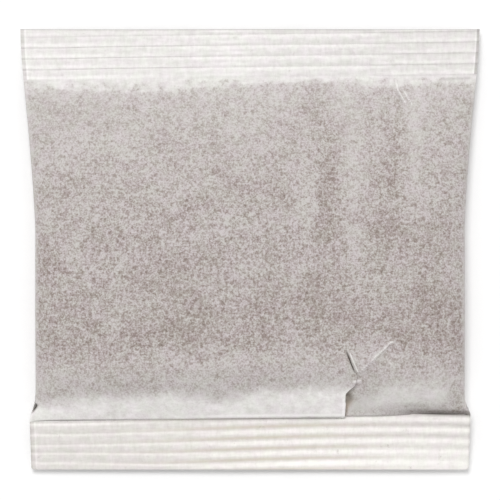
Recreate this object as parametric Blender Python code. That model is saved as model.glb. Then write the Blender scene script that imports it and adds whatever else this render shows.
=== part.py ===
"""Coffee filter pack: a sealed pillow of filter paper that holds one pot's ground coffee.

One web of paper is folded into a tube, and its two edges meet in a fin that lies flat against the back.
Both ends are pressed between toothed jaws into a crimped seal and cut off straight. The pack lies on its
back on a table. The coffee has slid towards the bottom seal, so the paper hangs over the left of that
seal in a lip, dips behind the right of it in a crevice, and is caught in a pleat where the two meet.

The mesh is a loft: closed loops round the tube, from the top cut to the bottom cut, with an end face on
each. Its front is then divided more finely where a fold or a soft valley runs, and pressed into shape.
Units are metres. +X is to the right of the front, +Y is to the top seal and +Z is up. The origin is on
the table, under the middle of the pack.
"""

import math
from typing import NamedTuple

import bmesh
import bpy
import numpy as np

# The paper tube
TUBE_WIDTH = 0.1080  # laid flat, which is the width of the top seal at its cut
PACK_LENGTH = 0.1038  # from cut to cut
SEALED_THICKNESS = 0.00036  # both plies where they are pressed together

# The fin on the back, where the edges of the web are sealed face to face
FIN_WIDTH = 0.0090
FIN_X = -0.0010  # the fold that the fin hangs from, on the tube laid flat; it lies towards +X
FIN_THICKNESS = 0.00025
FIN_TENT = 0.0040  # beside the fin, the paper comes down to the table over this width

# The crimp that the jaws leave: narrow grooves between flat lands
TOOTH_PITCH = 0.00258
TOOTH_DEPTH = 0.00034
GROOVE_SHARE = 0.40  # of the pitch

# The top seal
TOP_SEAL_DEPTH = 0.0114  # at the middle of the pack
TOP_CRIMP_RISE = 0.0014  # the teeth climb this much from the left to the right
TOP_DRAW_IN = 0.0007  # the body pulls each end of the seal's inner edge in by this
TOP_SEAL_HEIGHT = 0.0036  # of the seal's inner edge, above the table
TOP_SEAL_DROOP = 0.0014  # from there to the cut
TOP_SEAL_WAVE = 0.0004  # the seal waves up and down by this across the pack
TOP_WAVE_LENGTH = 0.0620

# The bottom seal
BOTTOM_SEAL_DEPTH = 0.0113  # at the left
BOTTOM_CRIMP_RISE = 0.0019  # the teeth climb this much from the left to their highest place
BOTTOM_CRIMP_PEAK = 0.82  # which is here, as a share of the width
BOTTOM_CUT_DRAW_IN = 0.0008  # the cut is narrower than the inner edge by this at each end
BOTTOM_CORNER_RADIUS = 0.0005
BOTTOM_SEAL_LOW = 0.0036  # height of the inner edge at the left
BOTTOM_SEAL_HIGH = 0.0043  # and at the right
BOTTOM_SEAL_DROOP = 0.0016  # from the inner edge to the cut at the left
BOTTOM_SEAL_TWIST = 0.0004  # the right end droops this much more

# The pleat that takes up paper in the bottom seal
PLEAT_X = 0.0234  # on the tube laid flat
PLEAT_TAKE_UP = 0.0045
PLEAT_STEP = 0.0015  # the body right of the pleat lies this much lower than the body left of it
PLEAT_STEP_WIDTH = 0.0070  # over which the body to the right comes up again
PLEAT_SWEEP = 0.0032  # the step bends to the right by this where it leaves the groove above it
PLEAT_SWEEP_WIDTH = 0.0060  # the paper beside the step bends with it over this width
PLEAT_SWEEP_PLACE = 0.30  # how far down the end the bend is, as a share of the end's length
PLEAT_SWEEP_ABOVE = 0.67  # shares of the end's length over which it fades out above that
PLEAT_SWEEP_BELOW = 0.42  # and below

# The fill
FILL_THICKNESS = 0.0112  # table to top, where the coffee lies deepest
TOP_SLOPE = 0.0600  # the coffee thins out over this length towards the top seal
TOP_SLOPE_BEND = 3.0  # exponent of the slope: 1 is straight, and more is rounder
SIDE_SQUARENESS = 6.0  # exponent of the section: 2 is an oval, and more is a flatter face
FACE_CROWN = 0.16  # the face is this share lower at its sides than along its middle
BELLY_DEPTH = 1.35  # how far the back would sag with no table under it, as a multiple of its height
SIDE_FALL = 0.0300  # the side folds come down to the bottom seal over this length

# The bottom end of the fill
END_LENGTH = 0.0125  # over which the front falls to the seal
END_BEND = 1.5  # exponent of the fall: 1 is straight, and more is rounder
TIP_ROLL = 0.00035  # radius that the paper rolls over at the foot of the fall
BACK_END_LENGTH = 0.0045  # over which the back rises to the seal
LIP_SET_BACK = 0.0003  # the lip stops this far short of the seal at the left side
LIP_OVERHANG = 0.0008  # and hangs this far over it beside the pleat
LIP_LIFT = 0.0007  # above the seal
CREVICE_DEPTH = 0.0014  # below the seal, at the right
CREVICE_BEND = 1.0  # what the crevice adds to the exponent of the fall
CREVICE_START = 0.0050  # to the right of the pleat
CREVICE_RUN = 0.0180  # over which it reaches its depth
PLEAT_SET_BACK = 0.00022  # the front stops this far short of the seal just right of the pleat
CREVICE_SET_BACK = 0.00075  # and this far at the crevice

# The soft valleys that hang from the top seal
VALLEY_HALF_WIDTH = 0.0024


class Valley(NamedTuple):
    """A soft valley in the front. It drifts to the right on its way down."""

    x: float
    drift: float
    reach: float
    depth: float


VALLEYS = (
    Valley(0.0166, 0.0034, 0.0480, 0.00060),
    Valley(0.0346, 0.0008, 0.0400, 0.00050),
)

# The sharp folds in the front
FOLD_TAPER = 0.0020  # over which a fold fades out at each end


class Fold(NamedTuple):
    """A straight fold. Its ends are (right, up) from where the pleat meets the seal's inner edge."""

    start: tuple[float, float]
    end: tuple[float, float]
    height: float  # of its crest, or less than 0 for a groove
    half_width: float


FOLDS = (
    Fold((-0.0003, 0.0166), (0.0030, 0.0089), -0.0010, 0.0007),
    Fold((0.0028, 0.0088), (0.0111, 0.0171), 0.0005, 0.0010),
    Fold((-0.0225, 0.0078), (-0.0193, 0.0031), -0.0004, 0.0009),
    Fold((-0.0196, 0.0046), (-0.0194, 0.0002), -0.0004, 0.0009),
    Fold((-0.0461, 0.0062), (-0.0455, 0.0002), -0.0004, 0.0009),
)

# How finely the loft is drawn
SIDE_COLUMNS = 5  # columns that round off each side
FACE_COLUMNS = 27  # columns across the face between them
SIDE_BAND = 0.0075  # the width of each rounded side
STEP_WIDTH = 0.0002  # columns this far apart make a step in the paper
BODY_ROWS = 13
BODY_ROW_BEND = 1.35  # exponent of the rows' places: 1 is even, and more crowds them near the top seal
END_ANGLES = (78, 65, 52, 40, 28, 16, 6, 0)  # degrees round the end of the fill
EDGE_SPACING = 0.00012  # rows that the cut would take off are kept this far apart
VALLEY_SPACING = 0.0018  # between the vertices that draw a valley
FOLD_SPACING = 0.0011  # and those along a fold
CUT_SNAP = 0.00004  # a fold's cut takes a vertex this near as its own
FRONT_TILT = 0.3  # the front's vertices face up by at least this much of a whole
SHARP_ANGLE = 35  # degrees; edges that turn more than this are shaded as creases

HALF_PLY = SEALED_THICKNESS / 2
HALF_LENGTH = PACK_LENGTH / 2
HALF_TUBE = TUBE_WIDTH / 2
HALF_BOTTOM = (TUBE_WIDTH - PLEAT_TAKE_UP) / 2
# A tube of fixed girth gets narrower as it gets thicker: each side gives this share of the thickness.
GIRTH_SHARE = (math.pi / 2 - 1) / 2
HALF_BODY = HALF_TUBE - GIRTH_SHARE * FILL_THICKNESS


def smooth_step(value):
    """0 below 0, 1 above 1, and a smooth climb between them."""
    t = np.clip(value, 0.0, 1.0)
    return t * t * (3.0 - 2.0 * t)


def columns():
    """Places across the pack, from -1 at the left side to 1 at the right.

    They are close together round the sides, even across the face, and in pairs at each step in the paper.
    """
    band = SIDE_BAND / HALF_TUBE
    side = 1.0 - band * (np.arange(SIDE_COLUMNS) / SIDE_COLUMNS) ** 2
    face = np.linspace(-(1.0 - band), 1.0 - band, FACE_COLUMNS)
    steps = np.array([FIN_X, FIN_X + FIN_WIDTH, PLEAT_X - PLEAT_TAKE_UP / 2, PLEAT_X])
    pairs = np.concatenate([steps - STEP_WIDTH / 2, steps + STEP_WIDTH / 2]) / HALF_TUBE
    nearest = np.abs(face[:, None] - pairs[None, :]).min(axis=1)
    clear = face[nearest > STEP_WIDTH / HALF_TUBE]
    return np.sort(np.concatenate([-side, clear, pairs, side]))


ACROSS = columns()
FACE_X = ACROSS * HALF_TUBE  # where each column lies on the flat tube


def between(low, high):
    """1 at the columns of the face between two places on the flat tube, and 0 elsewhere."""
    return ((FACE_X > low) & (FACE_X < high)).astype(float)


def section():
    """Height of the pack's section at each column: 1 along the middle, rounded off to 0 at the sides."""
    return np.sqrt(1.0 - np.abs(ACROSS) ** SIDE_SQUARENESS) * (1.0 - FACE_CROWN * ACROSS**2)


def table_height():
    """What the back rests on: the table, or the fin's thickness just beside the fin."""
    left = FIN_X - FACE_X
    right = FACE_X - (FIN_X + FIN_WIDTH)
    beside = np.maximum(left, right)
    tent = 1.0 - smooth_step(beside / FIN_TENT)
    return FIN_THICKNESS * np.where(beside > 0, tent, 0.0)


def fin():
    """How much the fin adds to the back at each column."""
    return FIN_THICKNESS * between(FIN_X, FIN_X + FIN_WIDTH)


def pleat():
    """How much the folded paper of the pleat adds to the front of the bottom seal at each column."""
    return HALF_PLY * between(PLEAT_X - PLEAT_TAKE_UP / 2, PLEAT_X)


def crimp(tooth):
    """Height of the crimp at a number of teeth from the inner edge: a groove at each whole number."""
    from_groove = np.abs(tooth - np.round(tooth))
    return TOOTH_DEPTH * (smooth_step(2.0 * from_groove / GROOVE_SHARE) - 0.5)


def tooth_rows(depth):
    """Rows from the inner edge outwards, in teeth: each groove and both edges of each land."""
    count = math.ceil(depth / TOOTH_PITCH)
    half = GROOVE_SHARE / 2
    return [k + part for k in range(count) for part in (0.0, half, 1.0 - half)] + [float(count)]


def loop(half_width, front, back, front_shift=0.0):
    """One closed loop round the tube: the front from left to right, then the back from right to left."""
    x = ACROSS * half_width
    front_points = np.stack([x + front_shift, front[0], front[1]], axis=1)
    back_points = np.stack([x, back[0], back[1]], axis=1)
    return np.concatenate([front_points, back_points[::-1]])


def top_inner_edge():
    """Y of the top seal's inner edge at each column."""
    return HALF_LENGTH - TOP_SEAL_DEPTH + TOP_CRIMP_RISE / 2 * ACROSS


def top_seal_height(share):
    """Height of the middle of the top seal; share is 0 at its inner edge and 1 at its cut."""
    wave = TOP_SEAL_WAVE * np.cos(2.0 * math.pi * FACE_X / TOP_WAVE_LENGTH)
    return TOP_SEAL_HEIGHT + wave - TOP_SEAL_DROOP * share


def bottom_rise():
    """How far the bottom teeth have climbed at each column: 0 at the left, 1 at their highest."""
    share = (ACROSS + 1.0) / 2
    return np.sin(math.pi / 2 * share / BOTTOM_CRIMP_PEAK) ** 2


def bottom_tooth_edge(tooth):
    """Y of a row of the bottom seal, in teeth from its inner edge."""
    return -HALF_LENGTH + BOTTOM_SEAL_DEPTH - TOOTH_PITCH * tooth + BOTTOM_CRIMP_RISE * bottom_rise()


def bottom_seal_height(share):
    """Height of the middle of the bottom seal; share is 0 at its inner edge and 1 at its cut."""
    to_the_right = smooth_step((ACROSS + 1.0) / 2)
    inner = BOTTOM_SEAL_LOW + (BOTTOM_SEAL_HIGH - BOTTOM_SEAL_LOW) * to_the_right
    return inner - share * (BOTTOM_SEAL_DROOP + BOTTOM_SEAL_TWIST * to_the_right)


def top_seal_loops():
    """The top seal from its cut to its inner edge. Rows beyond the cut are gathered just inside it."""
    loops = []
    teeth = tooth_rows(TOP_SEAL_DEPTH + TOP_CRIMP_RISE)[::-1]
    for i, tooth in enumerate(teeth[:-1]):
        y = np.minimum(top_inner_edge() + tooth * TOOTH_PITCH, HALF_LENGTH - i * EDGE_SPACING)
        if i == 0:
            y = np.full_like(y, HALF_LENGTH)
        pressed = crimp((y - top_inner_edge()) / TOOTH_PITCH)
        out = (y - top_inner_edge()) / TOP_SEAL_DEPTH
        middle = top_seal_height(out) + pressed
        half_width = HALF_TUBE - TOP_DRAW_IN * (1.0 - out.mean())
        loops.append(loop(half_width, (y, middle + HALF_PLY), (y, middle - HALF_PLY - fin())))
    return loops


def fill_share(y):
    """How much of its full thickness the fill has at these Y: a smooth hump that starts at the top seal."""
    left_over = np.clip(1.0 - (top_inner_edge() - y) / TOP_SLOPE, 0.0, 1.0)
    return 1.0 - left_over**TOP_SLOPE_BEND


def body_half_width(share):
    """Half the width of the body where the fill has this share of its full thickness."""
    return HALF_TUBE - TOP_DRAW_IN - (HALF_TUBE - TOP_DRAW_IN - HALF_BODY) * share


def middle_height(y):
    """Height of the side folds: from the top seal's to half the fill's, then down to the bottom seal's."""
    down = (top_inner_edge() - y) / TOP_SLOPE
    up = (y - bottom_tooth_edge(0.0)) / SIDE_FALL
    top, bottom = top_seal_height(0.0), bottom_seal_height(0.0)
    middle = top + (FILL_THICKNESS / 2 - top) * smooth_step(down)
    return bottom + (middle - bottom) * smooth_step(up)


def front_height(y):
    """Height of the front over the body."""
    middle = middle_height(y)
    rise = (FILL_THICKNESS - HALF_PLY - middle) * fill_share(y)
    return middle + HALF_PLY + rise * section()


def back_height(y):
    """Height of the back under the body: it sags to the table and lies flat there."""
    middle = middle_height(y)
    sagging = middle - HALF_PLY - BELLY_DEPTH * middle * fill_share(y) * section() - fin()
    return np.maximum(sagging, table_height())


def end_start():
    """Y where the front starts to fall to the bottom seal."""
    return bottom_tooth_edge(0.0) + END_LENGTH


def body_loops():
    """The body from the top seal's inner edge to where its end begins, with rows close near the seal."""
    loops = []
    for row in range(BODY_ROWS):
        share = (row / BODY_ROWS) ** BODY_ROW_BEND
        y = top_inner_edge() + (end_start() - top_inner_edge()) * share
        front = front_height(y) + crimp(0.0) * (row == 0)
        back = back_height(y) + crimp(0.0) * (row == 0)
        half_width = body_half_width(fill_share(y).mean())
        loops.append(loop(half_width, (y, front), (y, back)))
    return loops


def lip_share():
    """Where the front ends in the lip: 1 to the left of the pleat and 0 to its right."""
    return (FACE_X < PLEAT_X).astype(float) * section()


def lip_overhang():
    """How far the lip hangs past the seal's inner edge: more and more from the left side to the pleat."""
    along = (FACE_X + HALF_TUBE) / (PLEAT_X + HALF_TUBE)
    return (LIP_OVERHANG * along - LIP_SET_BACK * (1.0 - along)) * lip_share()


def pleat_step(angle):
    """How much lower the front lies to the right of the pleat: fullest half way round the end of the fill."""
    right = FACE_X - PLEAT_X
    beside = np.where(right > 0, np.exp(-right / PLEAT_STEP_WIDTH), 0.0)
    return PLEAT_STEP * math.sin(2.0 * angle) * beside * section()


def pleat_sweep(along):
    """How far the front shifts to the right beside the pleat; along runs from 0 to 1 down the end."""
    beside = np.exp(-(((FACE_X - PLEAT_X) / PLEAT_SWEEP_WIDTH) ** 2))
    reach = PLEAT_SWEEP_ABOVE if along < PLEAT_SWEEP_PLACE else PLEAT_SWEEP_BELOW
    from_bend = abs(along - PLEAT_SWEEP_PLACE) / reach
    return PLEAT_SWEEP * (1.0 - smooth_step(from_bend)) * beside


def crevice_share():
    """How much of its depth the crevice has at each column: none near the pleat, and all at the right."""
    past = FACE_X - PLEAT_X - CREVICE_START
    return smooth_step(past / CREVICE_RUN)


def set_back():
    """How far the front stops short of the bottom seal, to the right of the pleat."""
    back = PLEAT_SET_BACK + (CREVICE_SET_BACK - PLEAT_SET_BACK) * crevice_share()
    return np.where(FACE_X > PLEAT_X, back, 0.0) * section()


def front_fall(angle, start, top, tip_y, tip_z):
    """Y and Z of the front at an angle round the end: a power curve down to a small roll at its tip."""
    up_the_end = 1.0 - math.cos(angle)
    y = tip_y + (start - tip_y) * up_the_end
    from_tip = np.clip((y - tip_y) / TIP_ROLL, 0.0, 1.0)
    roll = TIP_ROLL * section()
    share = 1.0 - (1.0 - up_the_end) ** (END_BEND + CREVICE_BEND * crevice_share())
    z = tip_z + roll * np.sqrt(1.0 - (1.0 - from_tip) ** 2) + (top - tip_z - roll) * share
    return y, z - pleat_step(angle)


def end_loops():
    """The end of the fill: the front falls to the bottom seal, and the back rises round a quarter ellipse."""
    inner = bottom_tooth_edge(0.0)
    root = bottom_seal_height(0.0)
    tip_y = inner - lip_overhang() + set_back()
    tip_z = root + HALF_PLY + LIP_LIFT * lip_share() - CREVICE_DEPTH * crevice_share() * section()
    start = end_start()
    back_start = inner + BACK_END_LENGTH
    top, bottom = front_height(start), back_height(back_start)
    back_root = root - HALF_PLY - fin()
    loops = [loop(HALF_BODY, (start, top), (start, back_height(start)), pleat_sweep(0.0))]
    for degrees in END_ANGLES:
        angle = math.radians(degrees)
        along, up = math.cos(angle), math.sin(angle)
        front = front_fall(angle, start, top, tip_y, tip_z)
        back_y = back_start - (back_start - inner) * along
        back_z = back_root + (bottom - back_root) * up
        half_width = HALF_BODY + (HALF_BOTTOM - HALF_BODY) * (1.0 - up)
        loops.append(loop(half_width, front, (back_y, back_z), pleat_sweep(along)))
    return loops


def corner_cut(from_cut):
    """How far a rounded corner draws the side in, at these distances from the cut."""
    inside = np.clip(1.0 - from_cut / BOTTOM_CORNER_RADIUS, 0.0, 1.0)
    return BOTTOM_CORNER_RADIUS * (1.0 - np.sqrt(1.0 - inside**2))


def bottom_seal_loops():
    """The bottom seal from its inner edge to its cut. Rows beyond the cut are gathered just inside it."""
    loops = []
    teeth = tooth_rows(BOTTOM_SEAL_DEPTH + BOTTOM_CRIMP_RISE)
    last = len(teeth) - 1
    for i, tooth in enumerate(teeth):
        y = np.maximum(bottom_tooth_edge(tooth), -HALF_LENGTH + (last - i) * EDGE_SPACING)
        if i == last:
            y = np.full_like(y, -HALF_LENGTH)
        inner = bottom_tooth_edge(0.0)
        pressed = crimp((inner - y) / (inner - bottom_tooth_edge(1.0)))
        out = (inner - y) / (inner + HALF_LENGTH)
        middle = bottom_seal_height(out) + pressed
        half_width = HALF_BOTTOM - BOTTOM_CUT_DRAW_IN * out.mean() - corner_cut(y + HALF_LENGTH)
        front = middle + HALF_PLY + pleat()
        loops.append(loop(half_width, (y, front), (y, middle - HALF_PLY - fin())))
    return loops


def skin(loops):
    """Vertices and faces of the loft through the loops, with a strip of faces closing each end."""
    round_it, rows = len(loops[0]), len(loops)
    half = round_it // 2
    faces = []
    for row in range(rows - 1):
        for i in range(round_it):
            a, b = row * round_it + i, row * round_it + (i + 1) % round_it
            faces.append((a, a + round_it, b + round_it, b))
    for i in range(half - 1):
        front, back = i, round_it - 1 - i
        faces.append((front, front + 1, back - 1, back))
        offset = (rows - 1) * round_it
        faces.append((offset + back, offset + back - 1, offset + front + 1, offset + front))
    return np.concatenate(loops), faces


def filter_paper():
    """Bleached filter paper, tinted by the coffee that lies behind it."""
    material = bpy.data.materials.new("filter_paper")
    material.use_nodes = True
    shader = material.node_tree.nodes["Principled BSDF"]
    shader.inputs["Base Color"].default_value = (0.56, 0.52, 0.49, 1.0)
    shader.inputs["Roughness"].default_value = 0.9
    shader.inputs["Metallic"].default_value = 0.0
    return material


def pleat_foot():
    """Where the pleat meets the bottom seal's inner edge, as (x, y)."""
    return np.array([PLEAT_X * HALF_BOTTOM / HALF_TUBE, np.interp(PLEAT_X, FACE_X, bottom_tooth_edge(0.0))])


def from_segment(x, y, start, end):
    """How far points are from the line through a segment, and how far along it they are."""
    run = np.subtract(end, start)
    length = np.hypot(*run)
    offset = np.stack([x - start[0], y - start[1]])
    aside = np.abs(offset[0] * run[1] - offset[1] * run[0]) / length
    along = (offset[0] * run[0] + offset[1] * run[1]) / length
    return aside, along, length


def valley_shape(x, y, valley):
    """What a valley adds to the height of the front at these points: a smooth trough that fades out."""
    top = np.interp(valley.x, FACE_X, top_inner_edge())
    down = top - y
    aside = (x - valley.x - valley.drift * down / valley.reach) / VALLEY_HALF_WIDTH
    fade = smooth_step(down / TOP_SEAL_DEPTH) * (1.0 - smooth_step(2.0 * down / valley.reach - 1.0))
    return -valley.depth * np.exp(-(aside**2)) * fade


def fold_shape(x, y, fold):
    """What a fold adds to the height of the front at these points: a crest with straight sides."""
    foot = pleat_foot()
    aside, along, length = from_segment(x, y, foot + fold.start, foot + fold.end)
    crest = np.clip(1.0 - aside / fold.half_width, 0.0, 1.0)
    taper = np.minimum(FOLD_TAPER, length / 2)
    fade = smooth_step(along / taper) * smooth_step((length - along) / taper)
    return fold.height * crest * fade


def front_relief(x, y):
    """What the valleys and the folds together add to the height of the front."""
    total = sum(valley_shape(x, y, valley) for valley in VALLEYS)
    return total + sum(fold_shape(x, y, fold) for fold in FOLDS)


def is_front(vertex):
    """Whether a vertex of the body looks up, short of both seals."""
    top = HALF_LENGTH - TOP_SEAL_DEPTH - TOP_CRIMP_RISE
    bottom = -HALF_LENGTH + BOTTOM_SEAL_DEPTH
    return vertex.normal.z > FRONT_TILT and bottom < vertex.co.y < top


def divide(mesh, box, spacing):
    """Divides the front's edges inside a box (left, bottom, right, top) until none is twice the spacing."""
    left, bottom, right, top = box
    inside = [
        vertex
        for vertex in mesh.verts
        if is_front(vertex) and left < vertex.co.x < right and bottom < vertex.co.y < top
    ]
    edges = {edge for vertex in inside for edge in vertex.link_edges}
    long_edges = [edge for edge in edges if edge.calc_length() > 2.0 * spacing]
    while long_edges:
        made = bmesh.ops.subdivide_edges(mesh, edges=long_edges, cuts=1, use_grid_fill=True)
        new = [item for item in made["geom"] if isinstance(item, bmesh.types.BMEdge)]
        long_edges = [edge for edge in new if edge.calc_length() > 2.0 * spacing]


def valley_box(valley):
    """The box that a valley fills."""
    ends = (valley.x, valley.x + valley.drift)
    top = HALF_LENGTH - TOP_SEAL_DEPTH
    edge = 2.0 * VALLEY_HALF_WIDTH
    return min(ends) - edge, top - valley.reach, max(ends) + edge, top


def fold_box(fold):
    """The box that a fold fills."""
    corners = pleat_foot() + np.array([fold.start, fold.end])
    low = corners.min(axis=0) - fold.half_width
    high = corners.max(axis=0) + fold.half_width
    return low[0], low[1], high[0], high[1]


def score(mesh, fold):
    """Cuts the front along a fold's crest and along both its edges."""
    foot = pleat_foot()
    start, end = foot + fold.start, foot + fold.end
    run = end - start
    aside = np.array([run[1], -run[0]]) / np.hypot(*run)
    left, bottom, right, top = fold_box(fold)
    for side in (-1.0, 0.0, 1.0):
        corners = {
            vertex
            for vertex in mesh.verts
            if is_front(vertex) and left < vertex.co.x < right and bottom < vertex.co.y < top
        }
        faces = {face for vertex in corners for face in vertex.link_faces}
        edges = {edge for face in faces for edge in face.edges}
        place = start + side * fold.half_width * aside
        bmesh.ops.bisect_plane(
            mesh,
            geom=[*faces, *edges, *{vertex for face in faces for vertex in face.verts}],
            dist=CUT_SNAP,
            plane_co=(place[0], place[1], 0.0),
            plane_no=(aside[0], aside[1], 0.0),
        )
        mesh.normal_update()


def press_front(mesh):
    """Presses the valleys and the folds into the front."""
    for valley in VALLEYS:
        divide(mesh, valley_box(valley), VALLEY_SPACING)
    for fold in FOLDS:
        divide(mesh, fold_box(fold), FOLD_SPACING)
    for fold in FOLDS:
        score(mesh, fold)
    mesh.normal_update()
    front = [vertex for vertex in mesh.verts if is_front(vertex)]
    x = np.array([vertex.co.x for vertex in front])
    y = np.array([vertex.co.y for vertex in front])
    for vertex, rise in zip(front, front_relief(x, y)):
        vertex.co.z += rise


def filter_pack():
    """The whole sealed pack as one closed body."""
    vertices, faces = skin(top_seal_loops() + body_loops() + end_loops() + bottom_seal_loops())
    mesh = bpy.data.meshes.new("filter_pack")
    mesh.from_pydata(vertices.tolist(), [], faces)
    edited = bmesh.new()
    edited.from_mesh(mesh)
    edited.normal_update()
    press_front(edited)
    edited.to_mesh(mesh)
    edited.free()
    mesh.materials.append(filter_paper())
    mesh.shade_smooth()
    mesh.set_sharp_from_angle(angle=math.radians(SHARP_ANGLE))
    pack = bpy.data.objects.new("filter_pack", mesh)
    bpy.context.scene.collection.objects.link(pack)
    return pack


def clear_scene():
    """Removes what the scene holds already."""
    for obj in list(bpy.data.objects):
        bpy.data.objects.remove(obj, do_unlink=True)


clear_scene()
filter_pack()
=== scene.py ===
"""The looks of a coffee filter pack: a sealed pillow of filter paper with a crimped seal at each end.

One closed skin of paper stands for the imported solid. It is worked out as two grids, the front and the
back, whose rows run from the top cut to the bottom cut and whose columns run from the left side to the
right. Both are lofted through the same stations as the solid, in the same frame, and then take the finer
forms of the paper: the teeth of the jaws, the lip, the pleat, the crevice, the creases and the cockle.
Lengths are in millimetres up to the mesh, which is in metres as the frame is. The studio is in metres too.
"""

import logging
import math
from dataclasses import dataclass, field
from enum import Enum, auto
from typing import Any

import bpy
import numpy as np
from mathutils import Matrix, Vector


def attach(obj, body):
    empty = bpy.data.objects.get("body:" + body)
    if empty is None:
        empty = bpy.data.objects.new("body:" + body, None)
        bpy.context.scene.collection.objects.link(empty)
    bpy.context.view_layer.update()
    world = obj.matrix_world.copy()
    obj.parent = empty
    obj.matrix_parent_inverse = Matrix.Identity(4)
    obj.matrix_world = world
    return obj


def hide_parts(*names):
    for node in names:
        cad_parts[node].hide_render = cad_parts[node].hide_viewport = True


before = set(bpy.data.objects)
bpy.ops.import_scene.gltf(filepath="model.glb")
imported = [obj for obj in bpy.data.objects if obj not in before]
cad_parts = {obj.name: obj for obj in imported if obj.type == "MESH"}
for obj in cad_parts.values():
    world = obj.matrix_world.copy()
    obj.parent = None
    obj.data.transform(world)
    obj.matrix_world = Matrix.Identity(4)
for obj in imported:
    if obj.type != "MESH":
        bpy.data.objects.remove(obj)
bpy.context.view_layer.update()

MM = 0.001
FINE_STEPS = 8001  # enough for a density to be added up evenly
log = logging.getLogger("filter_pack")


class Mark(Enum):
    """A value that each vertex of the paper carries for the finish to read."""

    COVER = "coffee_cover"  # 0 where bare paper shows, 1 where coffee lies against it
    TONE = "coffee_tone"  # how strongly the coffee darkens the paper
    WHITE = "white_and_painted_light"  # 0 for a dull white, 1 for the brightest; it carries painted highlights and painted shade as well as the paper's own white
    CREAM = "cream_share"  # how far the white turns to cream, as it does in the bottom seal's grooves
    GLOOM = "fold_gloom"  # 0.5 in the brown shade beside a fold, 1 deep inside one


class Ply(Enum):
    """The two sides of the pack."""

    FRONT = "front"
    BACK = "back"


class At(Enum):
    """What is known of each point of a ply: a measure of its place, or a share from 0 to 1."""

    FLAT = auto()  # how far across the flat tube
    ACROSS = auto()  # the same, from -1 at the left side to 1 at the right
    X = auto()
    Y = auto()
    DOWN = auto()  # how far below the top seal's inner edge
    UP = auto()  # how far above the bottom seal's inner edge
    SIDE = auto()  # how far from the nearer side fold, on the flat tube
    CUT = auto()  # how far from the nearer cut
    TOP_TOOTH = auto()  # teeth below the top seal's inner edge, less than 0 in the seal
    TOP_PHASE = auto()  # how far it is past the last groove, in teeth
    TOOTH = auto()  # teeth below the bottom seal's inner edge
    LATER = auto()  # teeth below its second groove, and 0 above that
    GROOVE = auto()  # teeth below its nearest groove
    FRONT = auto()  # 1 on the front
    TOP = auto()  # 1 in the top seal
    BODY = auto()  # 1 between the seals
    TUCK = auto()  # 1 between the lip's edge and the bottom seal
    BOTTOM = auto()  # 1 in the bottom seal
    BEYOND = auto()  # 1 on the front, to the right of the pleat
    BEFORE = auto()  # 1 everywhere else
    TOP_FLANK = auto()  # how much the top seal's teeth face the light, which sets their painted highlights
    TOP_STRIP = auto()  # 1 on the strips along its sides, which get painted shade
    TOP_LINE = auto()  # 1 on the painted highlight beside each
    FLANK = auto()  # how much the bottom seal's teeth face the light, which sets their painted highlights
    STRIP = auto()  # 1 on the strip along its left side, which gets painted shade
    LINE = auto()  # 1 on the painted highlight beside that
    SHELTERED = auto()  # 1 close under the middle of the lip, where shade is painted
    CREVICE = auto()  # how much of its depth the crevice has
    CHASM = auto()  # the same, with its shallow end fading sooner
    LIP = auto()  # 1 at the lip's edge, and 0 above it and to the right of the pleat
    RIM = auto()  # 1 on the painted highlight just above the lip's edge
    LIP_EDGE = auto()  # 1 on the lip's edge, where a dark line of shadow is painted
    HEM = auto()  # 1 on the bare edge of the pleat
    FLAP = auto()  # 1 in the shade beside that
    STRETCHED = auto()  # 1 on the pale stretch above the crevice
    SEAM = auto()  # how dark the painted shadow under the lip is
    HOLE = auto()  # 1 in the small hole at the bottom left corner, which is painted dark as shade


Known = dict[At, np.ndarray]


def smooth_step(value: Any) -> np.ndarray:
    """0 below 0, 1 above 1, and a smooth climb between them."""
    t = np.clip(value, 0.0, 1.0)
    return t * t * (3.0 - 2.0 * t)


def hump(value: Any) -> np.ndarray:
    """A bell: 1 at 0, falling to about a third at 1 and to nothing past 2."""
    return np.exp(-np.square(value))


@dataclass(frozen=True)
class Ramp:
    """A smooth climb from 0 at its start to 1 a run further on; a run below 0 climbs the other way."""

    start: float
    run: float

    def at(self, value: Any) -> np.ndarray:
        """How far up the climb these values are."""
        return smooth_step((value - self.start) / self.run)


@dataclass(frozen=True)
class Bell:
    """A bell: 1 at its centre, and about a third a reach to each side."""

    centre: float
    reach: float

    def at(self, value: Any) -> np.ndarray:
        """How high the bell is at these values."""
        return hump((value - self.centre) / self.reach)


@dataclass(frozen=True)
class Touch:
    """Something that is added in one place.

    Attributes:
        amount: How much of it there is at its strongest.
        part: The part of the paper that it is in, and whatever else it is a share of.
        where: The ramps and bells that it keeps to, each over one measure.
    """

    amount: float
    part: tuple[At, ...] = ()
    where: dict[At, Ramp | Bell] = field(default_factory=dict)

    def on(self, known: Known) -> np.ndarray:
        """What it adds at each point: the product of them all."""
        curves = (curve.at(known[name]) for name, curve in self.where.items())
        return self.amount * math.prod(known[name] for name in self.part) * math.prod(curves)


def linear(colour: str) -> tuple[float, float, float, float]:
    """Turns an sRGB hex colour into the linear values that a shader takes.

    Args:
        colour: Six hex digits, such as "b9b3b0".

    Returns:
        Red, green, blue and alpha.
    """
    parts = [int(colour[i : i + 2], 16) / 255.0 for i in (0, 2, 4)]
    red, green, blue = (c / 12.92 if c <= 0.04045 else ((c + 0.055) / 1.055) ** 2.4 for c in parts)
    return red, green, blue, 1.0


def add(tree: bpy.types.NodeTree, kind: str, inputs: dict[Any, Any], **settings: Any) -> bpy.types.Node:
    """Adds one node to a tree.

    Args:
        tree: The material's tree.
        kind: The node's type, without its usual beginning.
        inputs: What goes into it, by name or number: a constant, or another node's output.
        settings: The node's own properties.

    Returns:
        The new node.
    """
    node = tree.nodes.new("ShaderNode" + kind)
    for name, setting in settings.items():
        setattr(node, name, setting)
    for key, value in inputs.items():
        if isinstance(value, bpy.types.NodeSocket):
            tree.links.new(value, node.inputs[key])
        else:
            node.inputs[key].default_value = value
    return node


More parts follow.
